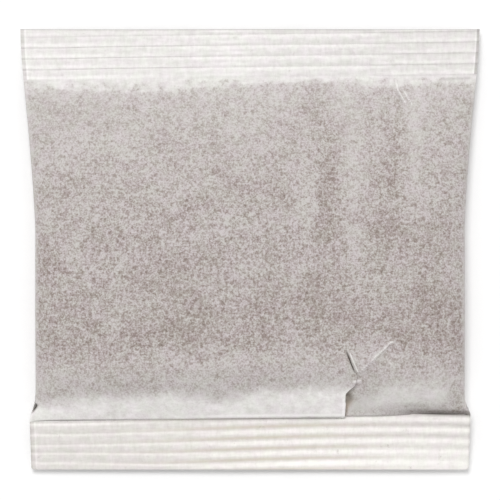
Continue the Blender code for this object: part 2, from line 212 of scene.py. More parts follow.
@dataclass(frozen=True)
class Crowd:
    """A place where the stations of a grid stand closer together.

    Attributes:
        centre: The middle of the crowd.
        reach: How far it spreads to each side.
        extra: How much denser than elsewhere it is.
    """

    centre: float
    reach: float
    extra: float


def spread(low: float, high: float, count: int, crowds: tuple[Crowd, ...]) -> np.ndarray:
    """Stations from low to high whose density is 1 plus a bell at each crowd.

    Args:
        low: The first station.
        high: The last station.
        count: How many stations.
        crowds: Where they stand closer together.

    Returns:
        The stations in order.
    """
    fine = np.linspace(low, high, FINE_STEPS)
    density = 1.0 + sum(c.extra * hump((fine - c.centre) / c.reach) for c in crowds)
    total = np.concatenate([[0.0], np.cumsum((density[1:] + density[:-1]) / 2.0)])
    return np.interp(np.linspace(0.0, total[-1], count), total, fine)


@dataclass(frozen=True)
class Tube:
    """The paper tube laid flat, and how a filled section of it looks."""

    width: float = 108.0
    length: float = 103.8
    half_ply: float = 0.18
    fin_x: float = -1.0
    fin_width: float = 9.0
    fin_thickness: float = 0.25
    fin_tent: float = 4.0
    pleat_x: float = 23.4
    pleat_take_up: float = 4.5
    fold_width: float = 0.06  # the columns on each side of the pleat stand this far apart
    squareness: float = 6.0
    crown: float = 0.16

    @property
    def half(self) -> float:
        """Half the width of the flat tube."""
        return self.width / 2

    @property
    def half_length(self) -> float:
        """Half the length from cut to cut."""
        return self.length / 2

    def front_columns(self, count: int) -> np.ndarray:
        """Places across the front on the flat tube, crowded at both sides, at the pleat and at the crinkles.

        Args:
            count: How many columns.

        Returns:
            The places. Three of them draw the pleat: its edge, the paper under it and the paper beyond.
        """
        crowds = (
            Crowd(-self.half, 2.2, 3.0),
            Crowd(self.half, 2.2, 3.0),
            Crowd(self.pleat_x + 1.0, 5.5, 2.2),
            Crowd(36.6, 2.4, 1.2),
        )
        places = spread(-self.half, self.half, count, crowds)
        nearest = int(np.argmin(np.abs(places - self.pleat_x)))
        places[nearest - 1 : nearest + 2] = self.pleat_x + self.fold_width * np.array([-1.0, 0.0, 1.0])
        return places

    def back_columns(self, count: int) -> np.ndarray:
        """Places across the back, crowded at both sides and at both edges of the fin.

        Args:
            count: How many columns.

        Returns:
            The places.
        """
        crowds = (
            Crowd(-self.half, 2.2, 3.0),
            Crowd(self.half, 2.2, 3.0),
            Crowd(self.fin_x, 0.7, 9.0),
            Crowd(self.fin_x + self.fin_width, 0.7, 9.0),
        )
        return spread(-self.half, self.half, count, crowds)

    def across(self, flat: np.ndarray) -> np.ndarray:
        """Places across the pack, from -1 at the left side to 1 at the right."""
        return flat / self.half

    def section(self, flat: np.ndarray) -> np.ndarray:
        """Height of the section, 1 in the middle and 0 at the sides: a squared oval with a crowned face."""
        a = np.clip(np.abs(self.across(flat)), 0.0, 1.0)
        return np.sqrt(1.0 - a**self.squareness) * (1.0 - self.crown * a**2)

    def fin(self, flat: np.ndarray) -> np.ndarray:
        """How much the fin adds to the back."""
        inside = (flat > self.fin_x) & (flat < self.fin_x + self.fin_width)
        return self.fin_thickness * inside

    def table(self, flat: np.ndarray) -> np.ndarray:
        """What the back rests on: the table, or the fin's thickness just beside the fin.

        Args:
            flat: The columns.

        Returns:
            Its height at each column.
        """
        beside = np.maximum(self.fin_x - flat, flat - self.fin_x - self.fin_width)
        tent = 1.0 - smooth_step(beside / self.fin_tent)
        return self.fin_thickness * np.where(beside > 0, tent, 0.0)


@dataclass(frozen=True)
class Tooth:
    """The section of one tooth down the page, as straight lines through (share of the pitch, height).

    Both seals' teeth come round to the groove at 0 and 1. What faces up the page catches the light.
    """

    points: tuple[tuple[float, float], ...]

    def height(self, phase: np.ndarray) -> np.ndarray:
        """Height at these shares of the pitch."""
        return np.interp(phase, *zip(*self.points))


@dataclass(frozen=True)
class Crimp:
    """The teeth that the jaws press into both plies.

    Attributes:
        pitch: From groove to groove.
        depth: What a height of 1 stands for.
        ridge: Flat, then a small ridge that drops into the groove.
        cushion: Quick to rise out of the groove, then falling slowly.
        dish: Slow to rise out of the groove, and steep only into the next one.
        ledge: Steep out of the groove, and then nearly level.
        swell: An even rise out of the groove, and an even fall to the next.
        phases: Where the rows of the grid stand on each tooth.
    """

    pitch: float = 2.58
    depth: float = 0.34
    ridge: Tooth = Tooth(
        ((0.00, 0.10), (0.05, -0.42), (0.18, -0.24), (0.30, -0.20), (0.66, -0.20), (0.95, 0.42), (1.00, 0.10))
    )
    cushion: Tooth = Tooth(
        ((0.00, -0.50), (0.06, -0.90), (0.14, -0.70), (0.30, 0.20), (0.45, 0.42), (0.75, 0.25), (1.00, -0.50))
    )
    dish: Tooth = Tooth(
        ((0.00, 0.10), (0.05, -0.42), (0.20, -0.66), (0.60, -0.58), (0.80, -0.18), (0.92, 0.32), (1.00, 0.10))
    )
    ledge: Tooth = Tooth(
        ((0.00, -0.42), (0.10, -0.80), (0.18, -0.65), (0.30, 0.30), (0.40, 0.55), (0.70, 0.42), (1.00, -0.42))
    )
    swell: Tooth = Tooth(
        ((0.00, -0.20), (0.10, -0.65), (0.26, -0.88), (0.60, 0.80), (0.70, 0.95), (0.84, 0.66), (1.00, -0.20))
    )
    phases: tuple[float, ...] = (0.0, 0.05, 0.10, 0.16, 0.24, 0.35, 0.46, 0.56, 0.67, 0.80, 0.91, 0.95)

    def height(self, down: np.ndarray, shares: dict[Tooth, Any]) -> np.ndarray:
        """Height of the crimp.

        Args:
            down: How far down the page, in teeth; each whole number is a groove.
            shares: How much of each tooth goes into the mix.

        Returns:
            The height over the middle of the teeth.
        """
        phase = down - np.floor(down)
        return self.depth * sum(share * tooth.height(phase) for tooth, share in shares.items())

    def flank(self, down: np.ndarray, shares: dict[Tooth, Any]) -> np.ndarray:
        """How much the teeth face up the page, from the height a little below less the height a little above.

        Args:
            down: How far down the page, in teeth.
            shares: How much of each tooth goes into the mix.

        Returns:
            0 where they don't, and 1 where they rise at one in two.
        """
        step = 0.05
        risen = self.height(down + step, shares) - self.height(down - step, shares)
        return np.clip(risen / (step * self.pitch), 0.0, 1.0)

    def stations(self, shallow: float, fan: int, upward: bool) -> np.ndarray:
        """Rows in teeth from the inner edge, and a fan of rows from the last of them to the cut.

        Args:
            shallow: The seal's least depth, in teeth.
            fan: How many rows spread out to the cut.
            upward: Whether the teeth are counted up the page.

        Returns:
            One value a row: teeth where it is 0 or more, and less than 0 for the fan, from just past 0
            down to -1 at the cut.
        """
        phases = np.array(self.phases)
        phases = np.sort((1.0 - phases) % 1.0) if upward else phases
        regular = (np.arange(math.ceil(shallow))[:, None] + phases).ravel()
        return np.concatenate([regular[regular <= shallow], -np.arange(1, fan + 1) / fan])

    def place(self, stations: np.ndarray, cut: np.ndarray) -> np.ndarray:
        """Turns stations into teeth at each column.

        Args:
            stations: From stations(), as a column of the grid.
            cut: Where the cut is at each column, in teeth.

        Returns:
            Teeth from the inner edge at each row and column.
        """
        last = stations.max()
        fanned = last + (cut - last) * -stations
        return np.where(stations >= 0.0, stations, fanned)


@dataclass(frozen=True)
class TopSeal:
    """The seal at the top of the page."""

    tube: Tube
    crimp: Crimp
    depth: float = 11.4
    climb: float = 1.4
    spread: float = 0.12  # the jaws spread it this much to each side
    draw_in: float = 0.82
    draw_in_bend: float = 1.5
    level: float = 3.6
    droop: float = 1.4
    wave: float = 0.4
    wave_length: float = 62.0
    hem_left: float = 0.85  # strips of these widths along both sides get painted shade, as if bent away from the light
    hem_right: float = 0.60
    hem_soft: float = 0.2  # how wide a strip's edge is, and the painted highlight beside it
    hem_line: float = 0.25  # how far that line is from the strip
    last_ridge: float = -0.06
    last_tooth: Ramp = Ramp(-3.4, -0.4)  # over teeth, and worn by the share that follows
    last_tooth_wear: float = 0.5
    lag: float = 0.07  # at the left its teeth lie lower down the page by this share of the pitch
    lagging: Ramp = Ramp(-0.60, -0.25)  # this and the next three are over the way across, from -1 to 1
    ridged: Ramp = Ramp(-0.12, -0.35)
    dished: Ramp = Ramp(0.40, 0.30)
    worn: Bell = Bell(-0.55, 0.14)
    wear: float = 0.25
    fan: int = 5

    @property
    def half_inner(self) -> float:
        """Half its width at the inner edge."""
        return self.tube.half + self.spread - self.draw_in

    def inner_edge(self, flat: np.ndarray) -> np.ndarray:
        """Y of the inner edge."""
        return self.tube.half_length - self.depth + self.climb / 2 * self.tube.across(flat)

    def middle(self, flat: np.ndarray, share: Any) -> np.ndarray:
        """Height of the middle of the seal: a slow wave that droops to the cut."""
        wave = self.wave * np.cos(2.0 * math.pi * flat / self.wave_length)
        return self.level + wave - self.droop * share

    def teeth(self, flat: np.ndarray) -> dict[Tooth, np.ndarray]:
        """Which teeth it has at each column: ridges, then cushions in the middle and dishes at the right.

        Args:
            flat: The columns.

        Returns:
            How much of each tooth goes into the mix.
        """
        a = self.tube.across(flat)
        ridged, dished = self.ridged.at(a), self.dished.at(a)
        return {
            self.crimp.ridge: ridged * (1.0 - self.wear * self.worn.at(a)),
            self.crimp.cushion: 1.0 - ridged - dished,
            self.crimp.dish: dished,
        }

    def pressed(self, flat: np.ndarray, down: np.ndarray) -> np.ndarray:
        """Height of its teeth; the last ridge has no groove after it.

        Args:
            flat: The columns.
            down: How far down the page from the inner edge, in teeth.

        Returns:
            The height over the middle of the seal.
        """
        teeth = self.teeth(flat)
        ridges = {self.crimp.ridge: teeth.pop(self.crimp.ridge)}
        down = down - self.lag * self.lagging.at(self.tube.across(flat))
        ridged = self.crimp.height(np.minimum(down, self.last_ridge), ridges)
        left_over = 1.0 - self.last_tooth_wear * self.last_tooth.at(down)
        return ridged * left_over + self.crimp.height(down, teeth)

    def hemmed(self, flat: np.ndarray) -> tuple[np.ndarray, np.ndarray]:
        """Marks the strips along both sides.

        Args:
            flat: The columns.

        Returns:
            1 on the strips of painted shade, and 1 on the painted highlight beside each.
        """
        side = self.tube.half - np.abs(flat)
        inward = side - np.where(flat < 0, self.hem_left, self.hem_right)
        strip = 1.0 - smooth_step(inward / self.hem_soft + 0.5)
        return strip, hump((inward - self.hem_line) / self.hem_soft)

    def stations(self) -> np.ndarray:
        """Rows from the cut to just short of the inner edge."""
        shallow = (self.depth - self.climb / 2) / self.crimp.pitch
        return self.crimp.stations(shallow, self.fan, upward=True)[:0:-1]

    def grid(self, flat: np.ndarray, ply: Ply) -> np.ndarray:
        """The seal's part of one ply.

        Args:
            flat: The columns.
            ply: Which side of the pack.

        Returns:
            Points by row and column, from the cut to the inner edge.
        """
        edge = self.inner_edge(flat)
        cut = (self.tube.half_length - edge) / self.crimp.pitch
        tooth = self.crimp.place(self.stations()[:, None], cut)
        y = edge + tooth * self.crimp.pitch
        share = tooth / cut
        z = self.middle(flat, share) + self.pressed(flat, -tooth)
        z = z + self.tube.half_ply if ply is Ply.FRONT else z - self.tube.half_ply - self.tube.fin(flat)
        half = self.tube.half + self.spread - self.draw_in * (1.0 - share) ** self.draw_in_bend
        return np.stack([self.tube.across(flat) * half, y, z], axis=-1)


@dataclass(frozen=True)
class BottomSeal:
    """The seal at the bottom of the page."""

    tube: Tube
    crimp: Crimp
    depth: float = 11.3
    climb: float = 1.9
    peak: float = 0.82
    spread: float = 0.1  # the jaws spread it this much to each side
    cut_draw_in: float = 0.3
    corner: float = 0.5
    hem: float = 1.0  # a strip of this width along the left side gets painted shade, as if bent away from the light
    hem_soft: float = 0.2  # how wide the painted highlight beside that strip is
    hem_line: float = 0.25  # how far that line is from the strip
    low: float = 3.6
    high: float = 4.3
    droop: float = 1.7
    twist: float = 0.4
    shelter: Bell = Bell(0.08, 0.44)  # across the pack, from -1 to 1
    shelter_teeth: Ramp = Ramp(0.6, -0.6)
    shelter_loss: float = 0.8
    swollen: Ramp = Ramp(-0.45, 0.4)
    bite: float = 0.42
    bite_middle: float = 0.33  # added from the middle on
    bite_right: float = 0.30  # added at the right, less the next for each of this many teeth
    bite_fade: float = 0.20
    fading_teeth: float = 4.0
    bite_late: float = 0.25  # added left of the middle, from the second tooth on
    bitten_middle: Ramp = Ramp(-0.45, 0.5)
    bitten_right: Ramp = Ramp(0.2, 0.6)
    bitten_late: Bell = Bell(-0.2, 0.25)
    late_teeth: Ramp = Ramp(1.5, 1.0)
    bend_up: float = 0.42  # the last teeth at the far left bend up the page by this share of the pitch
    bent_left: Ramp = Ramp(-0.30, -0.60)
    bent_teeth: Ramp = Ramp(2.0, 1.5)
    doubling: float = 0.5  # beside the pleat the folded paper is thicker by this share of a ply
    fan: int = 8

    @property
    def half(self) -> float:
        """Half the width of the seal, which the pleat makes narrower than the tube."""
        return (self.tube.width - self.tube.pleat_take_up) / 2 + self.spread

    def edge(self, flat: np.ndarray, tooth: Any = 0.0) -> np.ndarray:
        """Y of a row of teeth: it climbs by a sine squared from the left to its peak.

        Args:
            flat: The columns.
            tooth: Which row, in teeth from the inner edge.

        Returns:
            Y at each column.
        """
        share = (self.tube.across(flat) + 1.0) / 2
        risen = np.sin(math.pi / 2 * share / self.peak) ** 2
        return -self.tube.half_length + self.depth - self.crimp.pitch * tooth + self.climb * risen

    def middle(self, flat: np.ndarray, share: Any) -> np.ndarray:
        """Height of the middle of the seal: it climbs to the right, and droops and twists to the cut."""
        right = smooth_step((self.tube.across(flat) + 1.0) / 2)
        return self.low + (self.high - self.low) * right - share * (self.droop + self.twist * right)

    def sheltered(self, flat: np.ndarray, tooth: np.ndarray) -> np.ndarray:
        """1 close under the middle of the lip, and 0 where the jaws reached or the light does."""
        return self.shelter.at(self.tube.across(flat)) * self.shelter_teeth.at(tooth)

    def teeth(self, flat: np.ndarray, tooth: np.ndarray) -> dict[Tooth, np.ndarray]:
        """Ledges at the left and swells from the middle on, bitten less and less to the cut at the right.

        Args:
            flat: The columns.
            tooth: How far into the seal each point is, in teeth.

        Returns:
            How much of each tooth goes into the mix.
        """
        a = self.tube.across(flat)
        bite = self.bite + self.bite_middle * self.bitten_middle.at(a)
        faded = self.bite_fade * np.clip(tooth, 0.0, self.fading_teeth)
        bite = bite + self.bitten_right.at(a) * (self.bite_right - faded)
        bite = bite + self.bite_late * self.bitten_late.at(a) * self.late_teeth.at(tooth)
        bite = bite * (1.0 - self.shelter_loss * self.sheltered(flat, tooth))
        swollen = self.swollen.at(a)
        return {self.crimp.ledge: bite * (1.0 - swollen), self.crimp.swell: bite * swollen}

    def bent(self, flat: np.ndarray, tooth: np.ndarray) -> np.ndarray:
        """The teeth, of which the last bend up the page at the far left."""
        left = self.bent_left.at(self.tube.across(flat))
        return tooth + self.bend_up * left * self.bent_teeth.at(tooth)

    def pressed(self, flat: np.ndarray, tooth: np.ndarray) -> np.ndarray:
        """Height of its teeth."""
        return self.crimp.height(self.bent(flat, tooth), self.teeth(flat, tooth))

    def hemmed(self, flat: np.ndarray) -> tuple[np.ndarray, np.ndarray]:
        """1 on the strip of painted shade along the left side, and 1 on the painted highlight beside it."""
        inward = flat + self.tube.half - self.hem
        return (inward < 0).astype(float), hump((inward - self.hem_line) / self.hem_soft)

    def corner_cut(self, from_cut: np.ndarray) -> np.ndarray:
        """How far a rounded corner draws the side in: a quarter circle."""
        inside = np.clip(1.0 - from_cut / self.corner, 0.0, 1.0)
        return self.corner * (1.0 - np.sqrt(1.0 - inside**2))

    def grid(self, flat: np.ndarray, ply: Ply) -> np.ndarray:
        """The seal's part of one ply.

        Args:
            flat: The columns.
            ply: Which side of the pack.

        Returns:
            Points by row and column, from the inner edge to the cut.
        """
        edge = self.edge(flat)
        cut = (edge + self.tube.half_length) / self.crimp.pitch
        shallow = self.depth / self.crimp.pitch
        tooth = self.crimp.place(self.crimp.stations(shallow, self.fan, upward=False)[:, None], cut)
        y = edge - tooth * self.crimp.pitch
        share = tooth / cut
        z = self.middle(flat, share) + self.pressed(flat, tooth)
        if ply is Ply.FRONT:
            take_up = self.tube.pleat_take_up / 2
            beside = (flat - self.tube.pleat_x) / take_up
            folded = np.where(beside < 0, smooth_step(1.0 + beside), 0.0)
            z = z + self.tube.half_ply * (1.0 + self.doubling * folded)
        else:
            z = z - self.tube.half_ply - self.tube.fin(flat)
        half = self.half - self.cut_draw_in * share - self.corner_cut(y + self.tube.half_length)
        return np.stack([self.tube.across(flat) * half, y, z], axis=-1)


@dataclass(frozen=True)
class Fill:
    """The part of the pack that the coffee fills, down to where its end begins."""

    tube: Tube
    top: TopSeal
    bottom: BottomSeal
    thickness: float = 11.2
    slope: float = 60.0
    slope_bend: float = 3.0
    belly: float = 1.35
    side_fall: float = 30.0
    end_length: float = 12.5
    taken_in: float = 0.37  # fine puckers take this much more off each side
    narrowing: float = 36.0
    narrowing_bend: float = 1.3
    groove_run: float = 0.7  # the seal's last groove fades into the body over this

    @property
    def half_body(self) -> float:
        """Half the width of the body: the girth is fixed, so it narrows as it thickens."""
        return self.tube.half - (math.pi / 2 - 1) / 2 * self.thickness - self.taken_in

    def end_start(self, flat: np.ndarray) -> np.ndarray:
        """Y where the front starts to fall to the bottom seal."""
        return self.bottom.edge(flat) + self.end_length

    def share(self, flat: np.ndarray, y: np.ndarray) -> np.ndarray:
        """How much of its full thickness the fill has: one less a falling power of the way down."""
        left_over = np.clip(1.0 - (self.top.inner_edge(flat) - y) / self.slope, 0.0, 1.0)
        return 1.0 - left_over**self.slope_bend

    def side(self, flat: np.ndarray, y: np.ndarray) -> np.ndarray:
        """Height of the side folds: from the top seal's to half the fill's, then down to the bottom's.

        Args:
            flat: The columns.
            y: Y of each point.

        Returns:
            The height at each point.
        """
        down = (self.top.inner_edge(flat) - y) / self.slope
        up = (y - self.bottom.edge(flat)) / self.side_fall
        seal, foot = self.top.middle(flat, 0.0), self.bottom.middle(flat, 0.0)
        side = seal + (self.thickness / 2 - seal) * smooth_step(down)
        return foot + (side - foot) * smooth_step(up)

    def front(self, flat: np.ndarray, y: np.ndarray) -> np.ndarray:
        """Height of the front: the sides', plus the rest of the thickness by the fill's share and section.

        Args:
            flat: The columns.
            y: Y of each point.

        Returns:
            The height at each point.
        """
        side = self.side(flat, y)
        rise = (self.thickness - self.tube.half_ply - side) * self.share(flat, y)
        return side + self.tube.half_ply + rise * self.tube.section(flat)

    def back(self, flat: np.ndarray, y: np.ndarray) -> np.ndarray:
        """Height of the back: it sags to the table and lies flat there.

        Args:
            flat: The columns.
            y: Y of each point.

        Returns:
            The height at each point.
        """
        side = self.side(flat, y)
        sag = self.belly * side * self.share(flat, y) * self.tube.section(flat)
        return np.maximum(side - self.tube.half_ply - sag - self.tube.fin(flat), self.tube.table(flat))

    def rows(self, count: int) -> np.ndarray:
        """Shares of the way down the body, crowded under the top seal and round the creases."""
        crowds = (Crowd(0.0, 0.05, 3.2), Crowd(0.07, 0.05, 1.2), Crowd(0.95, 0.11, 3.2))
        return spread(0.0, 1.0, count + 1, crowds)[:-1]

    def grid(self, flat: np.ndarray, ply: Ply, count: int) -> np.ndarray:
        """The body's part of one ply.

        Args:
            flat: The columns.
            ply: Which side of the pack.
            count: How many rows.

        Returns:
            Points by row and column, from the top seal's inner edge to where the end begins.
        """
        top = self.top.inner_edge(flat)
        y = top + (self.end_start(flat) - top) * self.rows(count)[:, None]
        z = self.front(flat, y) if ply is Ply.FRONT else self.back(flat, y)
        fade = 1.0 - smooth_step((top - y) / self.groove_run)
        z = z + self.top.pressed(flat, np.zeros_like(y)) * fade
        wide = np.clip(1.0 - (top - y) / self.narrowing, 0.0, 1.0) ** self.narrowing_bend
        half = self.half_body + (self.top.half_inner - self.half_body) * wide
        return np.stack([self.tube.across(flat) * half, y, z], axis=-1)


@dataclass(frozen=True)
class FillEnd:
    """The end of the fill at the bottom seal: the lip, the pleat's step and the crevice.

    The front falls along a power curve, rolls over a small quarter round and then tucks in to the seal's
    inner edge: under the lip at the left, and up out of the crevice at the right. The back runs round a
    quarter ellipse.
    """

    tube: Tube
    fill: Fill
    bottom: BottomSeal
    rows: int = 46
    tuck_rows: int = 6
    back_left: float = 4.5
    back_right: float = 3.0
    back_run: float = 8.0
    back_bend: float = 0.8
    bend: float = 1.5
    roll: float = 0.35
    overhang_left: float = -0.80
    overhang_right: float = 0.85
    lift: float = 0.35
    crevice: float = 1.1
    crevice_bend: float = 1.2
    set_back: float = -0.36
    knee_back: float = 0.3  # the tuck's knee stands back by this share of that
    side_run: float = 2.0  # the crevice closes over this at the right side
    crevice_start: float = 5.0
    crevice_run: float = 18.0
    step: float = 1.5
    step_width: float = 7.0
    flare_left: float = 4.6
    flare_right: float = 2.4
    flare_bend: float = 1.6
    flap: float = 0.22  # the pleat's edge hangs over the paper to its right by this
    line_x: tuple[float, ...] = (22.0, 22.1, 25.1, 24.4, 23.1, 22.2, 22.1)
    line_y: tuple[float, ...] = (-14.0, -22.3, -29.7, -31.7, -32.7, -33.6, -39.0)
    foot: int = 2  # which point of that line is the groove's foot
    fold_run: float = 2.5
    line_reach: float = 5.5
    line_run: float = 6.0

    def beyond(self, flat: np.ndarray) -> np.ndarray:
        """1 from the pleat's fold to the right of the pack, and 0 to its left."""
        return (flat >= self.tube.pleat_x).astype(float)

    def crevice_share(self, flat: np.ndarray) -> np.ndarray:
        """How much of its depth the crevice has."""
        past = flat - self.tube.pleat_x - self.crevice_start
        return smooth_step(past / self.crevice_run) * self.beyond(flat)

    def tip(self, flat: np.ndarray) -> tuple[np.ndarray, np.ndarray]:
        """Where the front's fall ends and the tuck begins.

        Args:
            flat: The columns.

        Returns:
            Y and Z at each column.
        """
        section, beyond = self.tube.section(flat), self.beyond(flat)
        open_side = smooth_step((self.tube.half - flat) / self.side_run)
        along = (flat + self.tube.half) / (self.tube.pleat_x + self.tube.half)
        over = self.overhang_left + (self.overhang_right - self.overhang_left) * along
        over = over * section * (1.0 - beyond)
        deep = self.crevice_share(flat)
        root = self.bottom.middle(flat, 0.0) + self.tube.half_ply
        z = root + self.lift * section * (1.0 - deep) - self.crevice * deep * open_side
        return self.bottom.edge(flat) - over + self.set_back * open_side * beyond, z

    def pleat_drop(self, flat: np.ndarray, angle: np.ndarray) -> np.ndarray:
        """How much lower the front lies right of the pleat: a sine round the end, dying away to the right.

        Args:
            flat: The columns.
            angle: How far round the end each row is: a quarter turn at its start, and 0 at the tip.

        Returns:
            The drop at each point.
        """
        right = np.maximum(flat - self.tube.pleat_x, 0.0)
        side = np.exp(-right / self.step_width) * self.beyond(flat)
        return self.step * np.sin(2.0 * angle) * side * self.tube.section(flat)

    def flare(self, flat: np.ndarray, y: np.ndarray) -> np.ndarray:
        """How far the side has come to the seal's width: one less a power of the way up.

        Args:
            flat: The columns.
            y: Y of each point.

        Returns:
            0 where it is as wide as the body, and 1 where it is as wide as the seal.
        """
        right = (self.tube.across(flat) + 1.0) / 2
        far = self.flare_left + (self.flare_right - self.flare_left) * right
        return 1.0 - np.clip((y - self.bottom.edge(flat)) / far, 0.0, 1.0) ** self.flare_bend

    def swing(self, flat: np.ndarray, x: np.ndarray, y: np.ndarray) -> np.ndarray:
        """How far the front shifts sideways so that one column follows the groove and the pleat's edge.

        Args:
            flat: The columns.
            x: X of each point.
            y: Y of each point.

        Returns:
            The shift at each point: a bell round the pleat's fold.
        """
        column = int(np.argmin(np.abs(flat - self.tube.pleat_x)))
        line = np.interp(-y[:, column], -np.array(self.line_y), self.line_x)
        reached = smooth_step((self.line_y[0] - y[:, column]) / self.line_run)
        gap = (line - x[:, column]) * reached
        return gap[:, None] * hump((flat - self.tube.pleat_x) / self.line_reach)

    def overlap(self, flat: np.ndarray, y: np.ndarray) -> np.ndarray:
        """Pulls the pleat's edge out over the paper to its right, from the groove's foot to the seal.

        Args:
            flat: The columns.
            y: Y of each point.

        Returns:
            The shift at each point, 0 but in the two columns at the fold.
        """
        column = int(np.argmin(np.abs(flat - self.tube.pleat_x)))
        shift = np.zeros_like(y)
        folded = smooth_step((self.line_y[self.foot] - y[:, column]) / self.fold_run)
        shift[:, column - 1] = self.flap * folded
        shift[:, column] = -self.flap * folded
        return shift

    def front_grid(self, flat: np.ndarray) -> np.ndarray:
        """The end's part of the front, with the tuck below it: a curve of the second degree to the seal.

        Args:
            flat: The columns.

        Returns:
            Points by row and column.
        """
        start = self.fill.end_start(flat)
        top = self.fill.front(flat, start)
        tip_y, tip_z = self.tip(flat)
        angle = (math.pi / 2 * (1.0 - np.arange(self.rows) / (self.rows - 1)))[:, None]
        share = 1.0 - np.cos(angle)
        y = tip_y + (start - tip_y) * share
        roll = self.roll * self.tube.section(flat)
        rolled = roll * np.sqrt(1.0 - (1.0 - np.clip((y - tip_y) / self.roll, 0.0, 1.0)) ** 2)
        bend = self.bend + self.crevice_bend * self.crevice_share(flat)
        z = tip_z + rolled + (top - tip_z - roll) * (1.0 - (1.0 - share) ** bend)
        z = z - self.pleat_drop(flat, angle)
        edge = self.bottom.edge(flat)
        seal_z = self.bottom.grid(flat, Ply.FRONT)[0, :, 2]
        beyond = self.beyond(flat)
        knee_y = tip_y + (edge + self.knee_back * self.set_back - tip_y) * beyond
        knee_z = seal_z + (tip_z - seal_z) * beyond
        t = (np.arange(1, self.tuck_rows + 1) / (self.tuck_rows + 1))[:, None]
        tuck_y = (1 - t) ** 2 * tip_y + 2 * t * (1 - t) * knee_y + t**2 * edge
        tuck_z = (1 - t) ** 2 * tip_z + 2 * t * (1 - t) * knee_z + t**2 * seal_z
        y, z = np.concatenate([y, tuck_y]), np.concatenate([z, tuck_z])
        return np.stack([self.sides(flat, y), y, z], axis=-1)

    def back_grid(self, flat: np.ndarray) -> np.ndarray:
        """The end's part of the back, row for row with the front's.

        Args:
            flat: The columns.

        Returns:
            Points by row and column.
        """
        count = self.rows + self.tuck_rows
        edge = self.bottom.edge(flat)
        right = smooth_step((flat - self.tube.pleat_x) / self.back_run)
        length = self.back_left + (self.back_right - self.back_left) * right
        root = self.bottom.middle(flat, 0.0) - self.tube.half_ply - self.tube.fin(flat)
        start = self.fill.end_start(flat)
        share = (np.arange(count) / count)[:, None]
        reach = self.fill.end_length * (1.0 - smooth_step(share) ** self.back_bend)
        w = np.clip(reach / length, 0.0, 1.0)
        bottom = self.fill.back(flat, start)
        z = bottom + (root - bottom) * (1.0 - np.sqrt(1.0 - (1.0 - w) ** 2))
        y = edge + reach
        return np.stack([self.sides(flat, y), y, z], axis=-1)

    def sides(self, flat: np.ndarray, y: np.ndarray) -> np.ndarray:
        """X of the end's points, from the body's width to the seal's.

        Args:
            flat: The columns.
            y: Y of each point.

        Returns:
            X at each point.
        """
        flare = self.flare(flat, y)
        half = self.fill.half_body + (self.bottom.half - self.fill.half_body) * flare
        return self.tube.across(flat) * half


@dataclass(frozen=True)
class Valley:
    """A soft trough that hangs from the top seal and drifts to the right on its way down.

    Attributes:
        x: Where it starts.
        drift: How far it drifts.
        reach: How far down it goes.
        depth: How deep it is.
        half_width: How far it spreads to each side.
        stain_and_shade: How much darker it is along the trough: partly the coffee pressed closer, partly
            painted shade.
        pale: How much less the coffee shows on the flank at its right: a painted highlight.
        flank: Where that flank is, in half widths.
        fade_in: How far down it takes to reach its depth.
    """

    x: float
    drift: float
    reach: float
    depth: float
    half_width: float = 2.4
    stain_and_shade: float = 0.0
    pale: float = 0.0
    flank: Bell = Bell(2.3, 0.9)
    fade_in: float = 8.0

    def place(self, x: np.ndarray, down: np.ndarray) -> tuple[np.ndarray, np.ndarray]:
        """Places the points across it and along it.

        Args:
            x: X of each point.
            down: How far below the top seal's inner edge each point is.

        Returns:
            How many half widths each point is to the right, and how far it is faded in and out again.
        """
        aside = (x - self.x - self.drift * down / self.reach) / self.half_width
        fade = smooth_step(down / self.fade_in) * (1.0 - smooth_step(2.0 * down / self.reach - 1.0))
        return aside, fade

    def height(self, x: np.ndarray, down: np.ndarray) -> np.ndarray:
        """What it adds to the front: a bell across it."""
        aside, fade = self.place(x, down)
        return -self.depth * hump(aside) * fade

    def shade(self, x: np.ndarray, down: np.ndarray) -> np.ndarray:
        """What it adds to the coffee's tone: more along the trough, partly painted shade, and less on the
        flank to its right, a painted highlight.
        """
        aside, fade = self.place(x, down)
        return (self.stain_and_shade * hump(aside) - self.pale * self.flank.at(aside)) * fade


